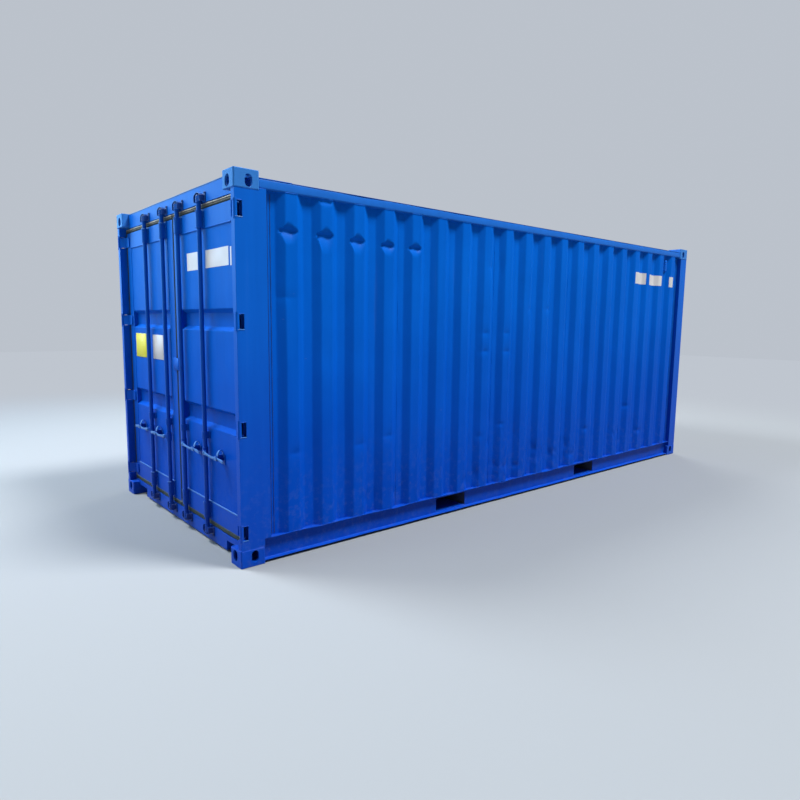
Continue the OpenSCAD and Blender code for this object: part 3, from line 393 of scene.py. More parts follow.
def seal_rubber():
    """Weathered door seal: olive grey rubber with painted highlights by height: a pale band on the
    lit upper part of the lower seal, and on the upper seal a lighter middle band and a pale top
    band."""
    finish = Finish("weathered_seal", roughness=0.7, specular=0.25)
    blotches = finish.noise(9.0, 4.0, 0.65)
    fine = finish.noise(120.0, 3.0, 0.6)
    height = finish.axis("Z") + (fine - 0.5) * 0.014
    blotched = blotches.between(0.3, 0.7)
    rubber = finish.mix(blotched, (0.010, 0.018, 0.014), (0.034, 0.044, 0.032))
    top_highlight = finish.mix(blotches.between(0.35, 0.65), (0.26, 0.24, 0.20), (0.56, 0.55, 0.50))
    lit_middle_band = finish.mix(blotched, (0.055, 0.052, 0.040), (0.13, 0.12, 0.095))
    # Painted highlight: the lit upper part of the lower seal turns pale
    lip = height.between(0.158, 0.164) * (1.0 - height.between(0.172, 0.20))
    rubber = finish.mix(lip * 0.8, rubber, (0.20, 0.23, 0.26))
    # Painted light on the upper seal: a lighter middle band, then a pale highlight along its top
    rubber = finish.mix(height.between(2.434, 2.441), rubber, lit_middle_band)
    rubber = finish.mix(height.between(2.448, 2.455), rubber, top_highlight)
    finish.give(base_color=finish.mix(fine.between(0.55, 0.8) * 0.12, rubber, (0.30, 0.29, 0.24)),
                roughness=0.6 + blotches * 0.25, normal=finish.bump(fine, 0.0006))
    return finish.material


def plywood():
    """Sealed floor boards: warm brown grain along X, with dark seams and rows of screws."""
    finish = Finish("sealed_plywood", roughness=0.55, specular=0.3)
    grain = finish.noise(2.0, 6.0, 0.65, finish.stretched(1.0, 22.0, 22.0))
    fibre = finish.noise(9.0, 4.0, 0.7, finish.stretched(1.2, 30.0, 30.0))
    stains = finish.noise(1.4, 3.0, 0.6)
    wood = finish.mix(grain.between(0.3, 0.7), (0.20, 0.105, 0.050), (0.36, 0.215, 0.115))
    wood = finish.mix(stains.between(0.45, 0.75) * 0.45, wood, (0.12, 0.075, 0.045))
    along, across = finish.axis("X"), finish.axis("Y")
    seam = 1.0 - along.folded(BOARD_L / 2).between(0.0012, 0.0035)
    beside, ahead = along.folded(SCREW_PITCH / 2), across.folded(SCREW_ROW)
    screw = 1.0 - (beside * beside + ahead * ahead).between(0.005 ** 2, 0.007 ** 2)
    wood = finish.mix(seam * 0.8, wood, (0.03, 0.02, 0.012))
    wood = finish.mix(screw * 0.8, wood, (0.05, 0.045, 0.04))
    finish.give(base_color=finish.mix(fibre.between(0.55, 0.75) * 0.3, wood, (0.42, 0.29, 0.18)),
                roughness=0.45 + grain * 0.25, normal=finish.bump(fibre, 0.0008))
    return finish.material


def dark_coating():
    """Underside steel under a brushed black-grey coat, with brown patches."""
    finish = Finish("underside_coating", roughness=0.6, specular=0.3)
    patches = finish.noise(3.0, 5.0, 0.65)
    grit = finish.noise(60.0, 3.0, 0.6)
    coat = finish.mix(patches.between(0.35, 0.7), (0.030, 0.036, 0.048), (0.070, 0.078, 0.095))
    coat = finish.mix(patches.between(0.62, 0.72) * 0.5, coat, (0.15, 0.075, 0.035))
    finish.give(base_color=coat, roughness=0.5 + grit * 0.3, normal=finish.bump(grit, 0.0008))
    return finish.material


def blank_film(name, fresh, faded):
    """Printed film left blank, with faint fading."""
    finish = Finish(name, roughness=0.38, specular=0.4)
    fading = finish.noise(7.0, 4.0, 0.6)
    wrinkles = finish.noise(24.0, 2.0)
    finish.give(base_color=finish.mix(fading.between(0.35, 0.8) * 0.6, fresh, faded),
                roughness=0.32 + fading * 0.2, normal=finish.bump(wrinkles, 0.0004))
    return finish.material


def joined(*parts):
    """Points from their coordinates, which are broadcast together."""
    return np.stack(np.broadcast_arrays(*parts), -1)


def circle(count):
    """Angles of count even places around a circle."""
    return np.arange(count) * 2 * math.pi / count


def both_bends(centres, flat, slope):
    """Places where the slopes beside each flat begin and end."""
    return [centre + turn * (flat / 2 + run) for centre in centres for turn in (-1, 1)
            for run in (0, slope)]


def quads(numbers):
    """Four corners of each cell of a grid of point numbers, facing columns cross rows."""
    return joined(numbers[:-1, :-1], numbers[:-1, 1:], numbers[1:, 1:],
                  numbers[1:, :-1]).reshape(-1, 4)


def oval(half_across, half_up, count):
    """Ellipse of count points, right-handed."""
    return joined(half_across * np.cos(circle(count)), half_up * np.sin(circle(count)))


def rounded(half_across, half_up, radius, steps=4):
    """Rectangle with round corners about the origin, right-handed."""
    turn = np.linspace(0, math.pi / 2, steps)
    points = []
    for number, (x, y) in enumerate(((1, 1), (-1, 1), (-1, -1), (1, -1))):
        angle = turn + number * math.pi / 2
        points.append(joined(x * (half_across - radius) + radius * np.cos(angle),
                             y * (half_up - radius) + radius * np.sin(angle)))
    return np.concatenate(points)


class Piece:
    """Collects closed shapes of quads and makes one mesh of them. With a side its points are
    (in from the door end, in from the side face, up), and without one they are the frame's."""

    def __init__(self, name, side=None):
        self.name, self.side = name, side
        self.points, self.quads, self.caps, self.count = [], [], [], 0

    def add(self, points, corners, caps=()):
        points = np.asarray(points, float).reshape(-1, 3)
        self.points.append(points)
        self.quads.append(corners + self.count)
        self.caps += [np.asarray(cap) + self.count for cap in caps]
        self.count += len(points)

    def slab(self, outer, inner, keep=None):
        """Closed solid between two grids of points, where columns cross rows face outwards.
        Keep says which cells are there, and every free side of a cell gets a face."""
        rows, columns = outer.shape[:2]
        keep = np.ones((rows - 1, columns - 1), bool) if keep is None else keep
        numbers = np.arange(rows * columns).reshape(rows, columns)
        front = quads(numbers)[keep.ravel()]
        corners = [numbers[:-1, :-1], numbers[:-1, 1:], numbers[1:, 1:], numbers[1:, :-1]]
        padded = np.pad(keep, 1)
        beyond = [padded[:-2, 1:-1], padded[1:-1, 2:], padded[2:, 1:-1], padded[1:-1, :-2]]
        behind = rows * columns
        faces = [front, front[:, ::-1] + behind]
        for i in range(4):
            free = keep & ~beyond[i]
            start, end = corners[i][free], corners[(i + 1) % 4][free]
            faces.append(joined(start, start + behind, end + behind, end))
        self.add(np.concatenate((outer, inner)), np.concatenate(faces))

    def tube(self, rings, ends=True):
        """Closed solid through rings of points that turn right-handed about its run. Without
        ends the last ring joins the first."""
        rings = np.asarray(rings)
        count, corners = rings.shape[:2]
        numbers = np.arange(count * corners).reshape(count, corners)
        caps = (numbers[0, ::-1], numbers[-1]) if ends else ()
        if not ends:
            numbers = np.vstack((numbers, numbers[:1]))
        numbers = np.hstack((numbers, numbers[:, :1]))
        self.add(rings, quads(numbers), caps)

    def sweep(self, path, outline, up, scale=1.0):
        """Outline (across, up) carried along a path of points. Its up stays square to the run."""
        path = np.asarray(path, float)
        run = np.gradient(path, axis=0)
        run /= np.linalg.norm(run, axis=1, keepdims=True)
        top = np.asarray(up, float) - run * (run @ np.asarray(up, float))[:, None]
        top /= np.linalg.norm(top, axis=1, keepdims=True)
        across = np.cross(top, run)
        size = np.broadcast_to(scale, len(path))[:, None, None]
        self.tube(path[:, None] + size * (outline[:, 0, None] * across[:, None]
                                          + outline[:, 1, None] * top[:, None]))

    def bead(self, path, kind, up, phase=0.0):
        """Bead of one kind along a path, whose size swells with the sine of the phase."""
        half_across, half_up, count, swelling = BEADS[kind]
        self.sweep(path, oval(half_across, half_up, count), up, 1 + swelling * np.sin(phase))

    def plate(self, centre, size, radius, back, front, ease=0.0008):
        """Flat plate on a face that looks out of the door end: centre and size are (w, z), and
        its corners and front edge are rounded."""
        rings = []
        for depth, less in ((back, 0.0), (front + ease, 0.0), (front, ease)):
            up, across = rounded(size[1] / 2 - less, size[0] / 2 - less, radius).T
            rings.append(joined(depth, centre[0] + across, centre[1] + up))
        self.tube(rings)

    def disc(self, w, z, steps, count):
        """Round solid that looks out of the door end, through steps of (depth, radius)."""
        turn = circle(count)
        self.tube([joined(depth, w + radius * np.sin(turn), z + radius * np.cos(turn))
                   for depth, radius in steps])

    def heads(self, places, face, kind):
        """Low domed heads at places (w, z) on a face that looks out of the door end."""
        radius, height = HEADS[kind]
        for w, z in places:
            self.disc(w, z, [(face - rise * height, size * radius) for rise, size in
                             ((-0.1, 1.0), (0.45, 1.0), (0.8, 0.8), (1.0, 0.4))], 12)

    def make(self, finish, body="root", stands_for=(), sharp=40):
        """The mesh object, with its finish, its body and the solids that it stands for."""
        points = np.concatenate(self.points)
        corners = np.concatenate(self.quads)
        if self.side is not None:
            d, w, z = points.T
            points = joined(d - LENGTH / 2, self.side * (WIDTH / 2 - w), z)
        sizes = np.array([4] * len(corners) + [len(cap) for cap in self.caps])
        used, loops = np.unique(np.concatenate([corners.ravel()] + self.caps), return_inverse=True)
        points = points[used]
        starts = np.concatenate(([0], np.cumsum(sizes)[:-1]))
        mesh = bpy.data.meshes.new(self.name)
        mesh.vertices.add(len(points))
        mesh.vertices.foreach_set("co", points.astype(np.float32).ravel())
        mesh.loops.add(len(loops))
        mesh.loops.foreach_set("vertex_index", loops.astype(np.int32))
        mesh.polygons.add(len(sizes))
        mesh.polygons.foreach_set("loop_start", starts.astype(np.int32))
        mesh.polygons.foreach_set("loop_total", sizes.astype(np.int32))
        mesh.polygons.foreach_set("use_smooth", np.ones(len(sizes), bool))
        mesh.update(calc_edges=True)
        if self.side == LEFT:
            mesh.flip_normals()
        mesh.set_sharp_from_angle(angle=math.radians(sharp))
        mesh.materials.append(finish)
        piece = bpy.data.objects.new(self.name, mesh)
        bpy.context.scene.collection.objects.link(piece)
        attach(piece, body)
        if stands_for:
            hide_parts(*stands_for)


def spread(start, end, pace):
    """Places from start to end whose steps follow pace, the wished step at each place."""
    fine = np.linspace(start, end, 6000)
    steps = 1 / pace((fine[1:] + fine[:-1]) / 2) * np.diff(fine)
    total = np.concatenate(([0], np.cumsum(steps)))
    return np.interp(np.linspace(0, total[-1], int(total[-1]) + 2), total, fine)


def paced(widest, zones=()):
    """Steps for spread: the widest, or the finest of the zones (from, to, step) at a place."""
    def pace(at):
        step = np.full(at.shape, widest)
        for low, high, fine in zones:
            step = np.where((at > low) & (at < high), np.minimum(step, fine), step)
        return step
    return pace


def near_to(marks, reach, step):
    """A zone for paced around each mark."""
    return [(mark - reach, mark + reach, step) for mark in marks]


def stretches(stops, pace):
    """Places spread over several stretches, with one at each stop."""
    parts = [spread(start, end, pace)[:-1] for start, end in zip(stops[:-1], stops[1:])]
    return np.concatenate(parts + [stops[-1:]])


def eased_ramp(distance, foot, run, height, ease):
    """Ramp from 0 at foot up to height after run, averaged over a window of twice ease, which
    rounds both of its bends."""
    def area(x):
        inside = np.clip(x - foot, 0, run)
        return height * (inside ** 2 / (2 * run) + np.maximum(x - foot - run, 0))
    return (area(distance + ease) - area(distance - ease)) / (2 * ease)


def ripple(s, z, amplitude, rng, count=7, longest=1.6):
    """Sum of slow sine waves in random directions, which leaves a sheet slightly uneven."""
    total = 0.0
    for _ in range(count):
        turn, phase = rng.uniform(0, 2 * math.pi, 2)
        wave = rng.uniform(0.3, 1.0) * longest
        run = s * math.cos(turn) + z * math.sin(turn)
        total = total + np.sin(run * 2 * math.pi / wave + phase)
    return amplitude * total / math.sqrt(count)


def smooth_least(first, second, blend):
    """The smaller of two values, rounded where they cross."""
    share = np.clip(0.5 + (second - first) / (2 * blend), 0, 1)
    return second + (first - second) * share - blend * share * (1 - share)


def creased_dent(s, z, centre, half, crease, top, foot, depth):
    """Sheet folded in along a level crease: it comes back to the sheet by a power of the distance
    above and below, so that it is steepest beside the crease, and it narrows the same way. It
    folds back quickly on the near side and slowly on the far side."""
    above = np.clip((z - crease) / (top - crease), 0, 1)
    below = np.clip((crease - CREASE_LEDGE - z) / (crease - CREASE_LEDGE - foot), 0, 1)
    left = 1 - np.maximum(above, below)
    narrow = np.where(z > crease, RISE_WIDTH + (1 - RISE_WIDTH) * left ** RISE_NARROWING,
                      FALL_WIDTH + (1 - FALL_WIDTH) * left ** FALL_NARROWING)
    beside = np.sqrt((s - centre) ** 2 + CREASE_SOFT ** 2) - CREASE_SOFT
    far = np.clip((s - centre) / 0.03 + 0.5, 0, 1)
    fold = np.clip((NEAR_STEEPNESS + far * (FAR_STEEPNESS - NEAR_STEEPNESS))
                   * (1 - beside / (half * narrow) * (1 - FAR_REACH * far)), 0, 1)
    power = np.where(z > crease, RISE_POWER, FALL_POWER)
    return depth * left ** power * fold * fold * (3 - 2 * fold)


def wall_depth(s, z, first, count, dented, rng):
    """Outer face of a side wall, in from the side face: trapezoid waves with eased bends, a
    slight unevenness, and on the dented side the creases and knocks of the real one."""
    sway = ripple(s, z, WALL_SWAY, rng, longest=0.9)
    nearest = first + np.clip(np.round((s - first) / WAVE_PITCH), 0, count - 1) * WAVE_PITCH
    depth = eased_ramp(np.abs(s + sway - nearest), WAVE_FLAT / 2, WAVE_SLOPE, WAVE_DEPTH,
                       BEND_EASE)
    depth = depth + np.abs(ripple(s, z, WALL_SWAY, rng))
    if dented:
        for dent in CREASED_DENTS:
            depth = np.maximum(depth, creased_dent(s, z, *dent))
        for centre, height, half, tall, deep in SHALLOW_CREASES:
            depth = depth + deep * np.exp(-((s - centre) / half) ** 2 - np.abs(z - height) / tall)
        for centre, height, half, tall, deep in LOW_KNOCKS:
            depth = depth + deep * np.exp(-((s - centre) / half) ** 2 - ((z - height) / tall) ** 2)
        bruises = np.abs(ripple(s, z, 1.0, np.random.default_rng(SEED + 90), 9, longest=0.17))
        for centre, height, half, tall, deep in BATTERED:
            depth = depth + deep * bruises * np.exp(-((s - centre) / half) ** 2
                                                    - ((z - height) / tall) ** 2)
    return CREST_IN + np.minimum(depth, WAVE_DEPTH + 0.002)


def wall_numbers(side):
    """Start, end, bottom and top of a side wall, its number of waves and its first wave."""
    low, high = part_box("side_wall_%s" % SIDE_NAMES[side])
    start, end = low.x + LENGTH / 2, high.x + LENGTH / 2
    count = int((end - start - WAVE_FLAT - 2 * WAVE_SLOPE) / WAVE_PITCH) + 1
    return start, end, low.z, high.z, count, (start + end - (count - 1) * WAVE_PITCH) / 2


def wall_face(side, s, z):
    """Outer face of one side's wall at places along and up it."""
    count, first = wall_numbers(side)[4:]
    rng = np.random.default_rng(SEED + 60 + side)
    return wall_depth(s, z, first, count, side == RIGHT, rng)


def wall_pace(first, count, dented):
    """Steps along a side wall: fine at its bends and, where dented, on crests and bruises."""
    crests = first + np.arange(-1, count + 1) * WAVE_PITCH
    zones = near_to(both_bends(crests, WAVE_FLAT, WAVE_SLOPE), BEND_REACH, BEND_STEP)
    if dented:
        zones += near_to(crests[crests < DENTED_END], DENTED_CREST, CREST_STEP) + [BATTERED_ZONE]
    return paced(WIDE_STEP, zones)


def side_wall(side, paint):
    """Side wall as sheets of four waves each, with a weld seam in the trough between them and a
    bead along its foot and its head."""
    start, end, bottom, top, count, first = wall_numbers(side)
    dented = side == RIGHT
    seams = [first + (WAVES_A_SHEET * (i + 1) - SEAM_SHIFT) * WAVE_PITCH
             for i in range(SHEETS_A_SIDE - 1)]
    stops = [start] + seams + [end]
    for number in range(SHEETS_A_SIDE):
        fine = WALL_ZONES + (DENTED_ZONES[number] if dented else [])
        s, z = np.meshgrid(
            spread(stops[number], stops[number + 1], wall_pace(first, count, dented)),
            spread(bottom, top, paced(TALL_STEP, fine)))
        depth = wall_face(side, s, z)
        piece = Piece("%s_wall_sheet_%d" % (SIDE_NAMES[side], number + 1), side)
        piece.slab(joined(s, depth, z), joined(s, depth + SHEET, z))
        piece.make(paint, stands_for=["side_wall_%s" % SIDE_NAMES[side]])
    welds = Piece("%s_wall_seams" % SIDE_NAMES[side], side)
    z, trough = np.arange(bottom + 0.004, top - 0.004, 0.02), CREST_IN + WAVE_DEPTH + 0.0012
    for seam in seams:
        welds.bead(joined(seam, trough, z), "sheet_seam", OUTWARDS, z * 330)
    s = np.arange(start + 0.004, end - 0.034, 0.008)
    for height in (bottom + 0.001, top - 0.001):
        face = wall_face(side, s, np.full(len(s), height))
        welds.bead(joined(s, face, height), "sheet_edge", UP, s * 310)
    welds.make(paint)


def span(node):
    """First and last place of a solid, in from the side face on its own side, and its heights."""
    low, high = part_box(node)
    ends = sorted((WIDTH / 2 - abs(low.y), WIDTH / 2 - abs(high.y)))
    return ends[0], ends[1], low.z, high.z


def skin_depth(side, w, z):
    """Outer face of a door skin: two level recesses with rounded bends, in a sheet that the
    welds along its edges have pulled slightly uneven."""
    rng = np.random.default_rng(SEED + 10 + side)
    near, far, low, high = span(DOORS[side] + "_panel")
    depth = DOOR_FACE
    for centre in RECESSES:
        depth = depth + RECESS_DEPTH - eased_ramp(np.abs(z - centre), RECESS_H / 2 - RECESS_SLOPE,
                                                  RECESS_SLOPE, RECESS_DEPTH, RECESS_EASE)
    edge = np.minimum(np.minimum(w - near, far - w), np.minimum(z - low, high - z))
    rim = np.clip(edge / RIM_FADE, 0, 1)
    depth = depth + rim * np.abs(ripple(w, z, DOOR_SWAY, rng, longest=1.1))
    for height, across, deep in DOOR_KNOCKS[side]:
        depth = depth + rim * deep * np.exp(-((w - across) / KNOCK_W) ** 2
                                            - ((z - height) / KNOCK_H) ** 2)
    return depth


def door_panel(side, paint):
    """Door skin between its stiles, one closed sheet."""
    name = DOORS[side]
    near, far, low, high = span(name + "_panel")
    bends = both_bends(RECESSES, RECESS_H - 2 * RECESS_SLOPE, RECESS_SLOPE)
    z, w = np.meshgrid(spread(low, high, paced(0.020, near_to(bends, 0.006, 0.0015))),
                       spread(near, far, paced(0.022, near_to([near, far], 0.03, 0.008))))
    depth = skin_depth(side, w, z)
    piece = Piece(name + "_skin", side)
    piece.slab(joined(depth, w, z), joined(depth + SHEET, w, z))
    piece.make(paint, name, [name + "_panel"])


def door_beads(side, paint, painted_highlight):
    """Weld bead around a door skin, in the corner where it meets the rails and the stiles. The
    one on the lower rail is paler as a painted highlight, where its top catches the light."""
    name = DOORS[side]
    near, far, low, high = span(name + "_panel")
    w = np.arange(near, far, 0.008)
    ledge = Piece(name + "_ledge", side)
    piece = Piece(name + "_beads", side)
    for bead, height in ((ledge, low), (piece, high)):
        bead.bead(joined(DOOR_FACE - 0.0015, w, height + 0.001), "door_rail", UP, w * 290)
    ledge.make(painted_highlight, name)
    z = np.arange(low, high, 0.006)
    for across in (near, far):
        piece.bead(joined(skin_depth(side, across, z) - 0.0003, across, z), "door_stile", INWARDS,
                   z * 310)
    piece.make(paint, name)


def door_seal(side, rubber):
    """Seal around a door: one section mitred round three sides, whose outer lip stands forward of
    its foot, and a tongue down the side where the doors meet. The lip wanders a little."""
    rng = np.random.default_rng(SEED + 20 + side)
    name = DOORS[side]
    near, far, low, high = span(name + "_gasket")
    front = DOOR_FACE + 0.001
    outer = np.array([(DOOR_MEET, low), (near, low), (near, high), (DOOR_MEET, high)])
    inner = np.array([(DOOR_MEET, DOOR_LOW), (DOOR_EDGE, DOOR_LOW), (DOOR_EDGE, DOOR_HIGH),
                      (DOOR_MEET, DOOR_HIGH)])
    share, behind = np.array(SEAL_SECTION).T
    rings = []
    for leg, count in enumerate((30, 60, 30)):
        steps = np.linspace(0, 1, count)[:, None]
        out = outer[leg] + steps * (outer[leg + 1] - outer[leg])
        within = inner[leg] + steps * (inner[leg + 1] - inner[leg])
        across = out[:, None] + share[None, :, None] * (within - out)[:, None]
        sway = rng.uniform(-1, 1, count)
        sway = 0.0012 * (sway + np.roll(sway, 1) + np.roll(sway, 2))[:, None]
        deep = front + behind + np.abs(sway) * (behind < 0.007)
        ring = np.concatenate((deep[..., None], across), -1)
        rings.append(ring if leg == 0 else ring[1:])
    piece = Piece(name + "_seal", side)
    piece.tube(np.concatenate(rings))
    behind, share = np.array(TONGUE)[::-1].T
    heights = np.linspace(low, high, 90)
    sway = 1 - 0.06 * np.abs(ripple(heights, 0 * heights, 1.0, rng, longest=0.5))
    across = DOOR_MEET + share * (far - DOOR_MEET) * np.clip(sway, 0.7, 1)[:, None]
    piece.tube(joined(front + behind, across, heights[:, None]))
    piece.make(rubber, name, [name + "_gasket"], sharp=50)


def bottom_rail(side, paint):
    """Channel with rounded bends, its lips pushed about by years of handling. The web is open at
    the fork pockets, and the foot ends at the casting of the closed end."""
    rng = np.random.default_rng(SEED + 30 + side)
    name = "bottom_rail_%s" % SIDE_NAMES[side]
    low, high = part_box(name)
    start, end = low.x + LENGTH / 2, high.x + LENGTH / 2
    lip, reach = span(name)[:2]
    turn = np.linspace(0, math.pi / 2, 5)

    def corner(centre, radius, first):
        return joined(centre[0] + radius * np.cos(first + turn),
                      centre[1] + radius * np.sin(first + turn))

    foot, head = low.z + RAIL_PLATE + RAIL_BEND, high.z - RAIL_PLATE - RAIL_BEND
    heel = reach - RAIL_PLATE - RAIL_BEND
    flat = lip + (heel - lip) * np.array([0.0, 0.35, 0.7])
    web = np.array([POCKET_LOW, 0.075, CASTING_H, POCKET_HIGH])
    paths = []
    for radius in (RAIL_BEND, RAIL_BEND + RAIL_PLATE):
        paths.append(np.concatenate((joined(flat, foot - radius),
                                     corner((heel, foot), radius, -math.pi / 2),
                                     joined(heel + radius, web), corner((heel, head), radius, 0),
                                     joined(flat[::-1], head + radius))))
    gates = [centre + turn * POCKET_W / 2 for centre in POCKETS for turn in (-1, 1)]
    s = stretches([start] + gates + [LENGTH - CASTING_L, end], paced(RAIL_STEP))
    nudge = LIP_NUDGE * np.abs(ripple(s, 0 * s, 1.0, rng, longest=0.9))
    sag = LIP_SAG * ripple(s, 0 * s, 1.0, rng, longest=0.6)
    for place, half, deep in LIP_KNOCKS:
        sag = sag - deep * np.exp(-((s - place) / half) ** 2)
    grids = []
    for w, z in (path.T[..., None] for path in paths):
        loose = np.clip((heel - w) / (heel - lip), 0, 1)
        dropped = loose * np.where(z > 0.1, sag, 0.4 * sag) * (1 - (loose < 0.01))
        grids.append(joined(s, w + loose * nudge, z + dropped))
    middle_s, middle_z = (s[1:] + s[:-1]) / 2, (paths[0][1:, 1:] + paths[0][:-1, 1:]) / 2
    cut = (middle_s > LENGTH - CASTING_L) & (middle_z < CASTING_H)
    for centre in POCKETS:
        cut |= ((np.abs(middle_s - centre) < POCKET_W / 2)
                & (middle_z > POCKET_LOW) & (middle_z < POCKET_HIGH))
    piece = Piece(name + "_skin", side)
    piece.slab(grids[0], grids[1], ~cut)
    piece.make(paint, "root", [name, "pocket_straps"])


def end_wall(paint):
    """Corrugated sheets of the closed end, with rounded bends."""
    rng = np.random.default_rng(SEED + 40)
    low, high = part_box("end_wall")
    count = int((high.y - low.y - END_FLAT - 2 * END_SLOPE) / END_PITCH) + 1
    last = (count - 1) / 2
    bends = both_bends((np.arange(count) - last) * END_PITCH, END_FLAT, END_SLOPE)
    y, z = np.meshgrid(spread(low.y, high.y, paced(0.025, near_to(bends, 0.009, 0.0035))),
                       spread(low.z, high.z, paced(0.05)))
    nearest = np.clip(np.round(y / END_PITCH), -last, last) * END_PITCH
    depth = eased_ramp(np.abs(y + ripple(y, z, 0.001, rng) - nearest), END_FLAT / 2, END_SLOPE,
                       END_DEPTH, 0.006)
    depth = CREST_IN + np.minimum(depth + np.abs(ripple(y, z, 0.0012, rng)), END_DEPTH)
    piece = Piece("end_wall_sheets")
    piece.slab(joined(LENGTH / 2 - depth, y, z), joined(LENGTH / 2 - depth - SHEET, y, z))
    piece.make(paint, "root", ["end_wall"])


def roof(paint):
    """Roof sheets with pressed panels: each rises along both directions by the lower of two eased
    ramps, and the whole sheet sags a little between the rails."""
    rng = np.random.default_rng(SEED + 50)
    low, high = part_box("roof_panel")
    start, end = low.x + LENGTH / 2, high.x + LENGTH / 2
    count = int((end - CASTING_L - start - (ROOF_FLAT + 2 * ROOF_SLOPE)) / ROOF_PITCH) + 1
    first = (start + end - CASTING_L - (count - 1) * ROOF_PITCH) / 2
    bends = both_bends(first + np.arange(count) * ROOF_PITCH, ROOF_FLAT, ROOF_SLOPE)
    s = stretches([start, LENGTH - CASTING_L, end], paced(0.022, near_to(bends, 0.007, 0.0035)))
    notch = WIDTH / 2 - CASTING_W
    borders = both_bends([0.0], WIDTH - 2 * (ROOF_BORDER + ROOF_SLOPE), ROOF_SLOPE)
    y = stretches([low.y, -notch, notch, high.y], paced(0.045, near_to(borders, 0.007, 0.0035)))
    keep = ~((s[1:] > LENGTH - CASTING_L + 0.001)
             & (np.abs((y[1:] + y[:-1]) / 2) > notch)[:, None])
    s, y = np.meshgrid(s, y)
    nearest = first + np.clip(np.round((s - first) / ROOF_PITCH), 0, count - 1) * ROOF_PITCH
    along = 1 - eased_ramp(np.abs(s - nearest), ROOF_FLAT / 2, ROOF_SLOPE, 1.0, ROOF_EASE)
    across = eased_ramp(WIDTH / 2 - np.abs(y), ROOF_BORDER, ROOF_SLOPE, 1.0, ROOF_EASE)
    inside = np.clip((WIDTH / 2 - np.abs(y) - ROOF_BORDER) / SAG_SIDE, 0, 1)
    inside = inside * np.clip((s - start) / SAG_END, 0, 1) * np.clip((end - s) / SAG_END, 0, 1)
    height = ROOF_TOP + ROOF_RISE * np.clip(smooth_least(along, across, ROOF_BLEND), 0, 1)
    height = height - inside * np.abs(ripple(s, y, ROOF_SAG, rng, longest=1.3))
    piece = Piece("roof_sheets")
    piece.slab(joined(s - LENGTH / 2, y, height), joined(s - LENGTH / 2, y, height - SHEET), keep)
    piece.make(paint, "root", ["roof_panel"])


def guide_bolts(side, paint):
    """Domed heads on the feet of the bar guides, four beside each long one."""
    name = DOORS[side]
    piece = Piece(name + "_guide_bolts", side)
    for bar in BARS:
        for w in (bar - GUIDE_BOLT_OUT, bar + GUIDE_BOLT_OUT):
            for low in LONG_GUIDES:
                piece.heads([(w, low + 0.015 + 0.030 * i) for i in range(4)],
                            RAIL_FACE - GUIDE_FOOT, "guide")
            piece.heads([(w, SHORT_GUIDE - 0.014), (w, SHORT_GUIDE + 0.014)],
                        DOOR_FACE - GUIDE_FOOT, "short_guide")
    piece.make(paint, name)


def guide_rims(side, paint, painted_highlight):
    """Rolled rims over the front of each long guide, and the thick one at its upper end, which is
    paler as a painted highlight, where its top catches the light."""
    name = DOORS[side]
    for title, finish, first, rims in (("_guide_rims", paint, -math.pi / 2, GUIDE_RIMS),
                                       ("_guide_lips", painted_highlight, -0.1, GUIDE_LIP)):
        piece = Piece(name + title, side)
        turn = np.linspace(first, math.pi / 2, 17)
        d = BAR_IN - GUIDE_R * np.cos(turn)
        for bar in BARS:
            w = bar + GUIDE_R * np.sin(turn)
            for low in LONG_GUIDES:
                for drop, thick in rims:
                    piece.sweep(joined(d, w, low + GUIDE_H - drop), oval(thick, thick, 8), UP)
        piece.make(finish, name)


def keeper_plates(side, paint):
    """Forged feet under the keepers' ears, with a rib over each ear and two bolts, and the vault
    that joins both ears beyond the end of the bar."""
    piece = Piece("%s_keeper_feet" % SIDE_NAMES[side], side)
    u, d = np.meshgrid(np.linspace(-1, 1, 21), np.linspace(VAULT_FRONT, HEADER_FACE + 0.001, 6))
    rib = np.linspace(0, 1, 8)
    for bar in BARS:
        for low, away in zip(CAMS, (-1, 1)):
            middle = low + CAM_H / 2
            for turn in (-1, 1):
                across, height = bar + turn * FOOT_OUT, middle + away * FOOT_AWAY
                piece.plate((across, height), FOOT_SIZE, FOOT_CORNER, HEADER_FACE, FOOT_FACE,
                            0.0015)
                piece.heads([(across + turn * BOLT_OUT, height - BOLT_STEP),
                             (across + turn * BOLT_OUT, height + BOLT_STEP)], FOOT_FACE, "keeper")
                for edge in (low + 0.001, low + CAM_H - 0.001):
                    piece.sweep(joined(np.linspace(RIB_FROM, RIB_TO, 8),
                                       bar + turn * (RIB_OUT + RIB_SPREAD * rib ** 2), edge),
                                oval(*RIB_HALF, 10), UP, np.linspace(0.85, 1.25, 8))
            vault = middle + away * (VAULT_OUT + VAULT_RISE * (1 - u ** 2)
                                     - VAULT_DROP * (d - VAULT_FRONT) / VAULT_L)
            faces = [joined(d, bar + VAULT_HALF * u, vault + away * t) for t in (VAULT_T, 0.0)]
            piece.slab(*faces[::-away])
    piece.make(paint)


def bar_ends(side, paint):
    """Domed ends beyond the cams of the lock bars, and three rings around each cam."""
    turn = circle(24)
    for number, bar in zip(BAR_NUMBERS[side], BARS):
        piece = Piece("lock_bar_%d_ends" % number, side)
        for face, out in ((CAMS[0], -1), (CAMS[1] + CAM_H, 1)):
            piece.tube([joined(BAR_IN + size * np.cos(turn), bar + out * size * np.sin(turn),
                               face + out * rise) for rise, size in BAR_END])
        radius, raised = RING_R + RING_T * np.cos(circle(8)), RING_T * np.sin(circle(8))
        for low in CAMS:
            for step in (0.0015, CAM_H / 2, CAM_H - 0.0015):
                piece.tube(joined(BAR_IN - radius * np.cos(turn)[:, None],
                                  bar - radius * np.sin(turn)[:, None], low + step + raised),
                           ends=False)
        piece.make(paint, "lock_bar_%d" % number)


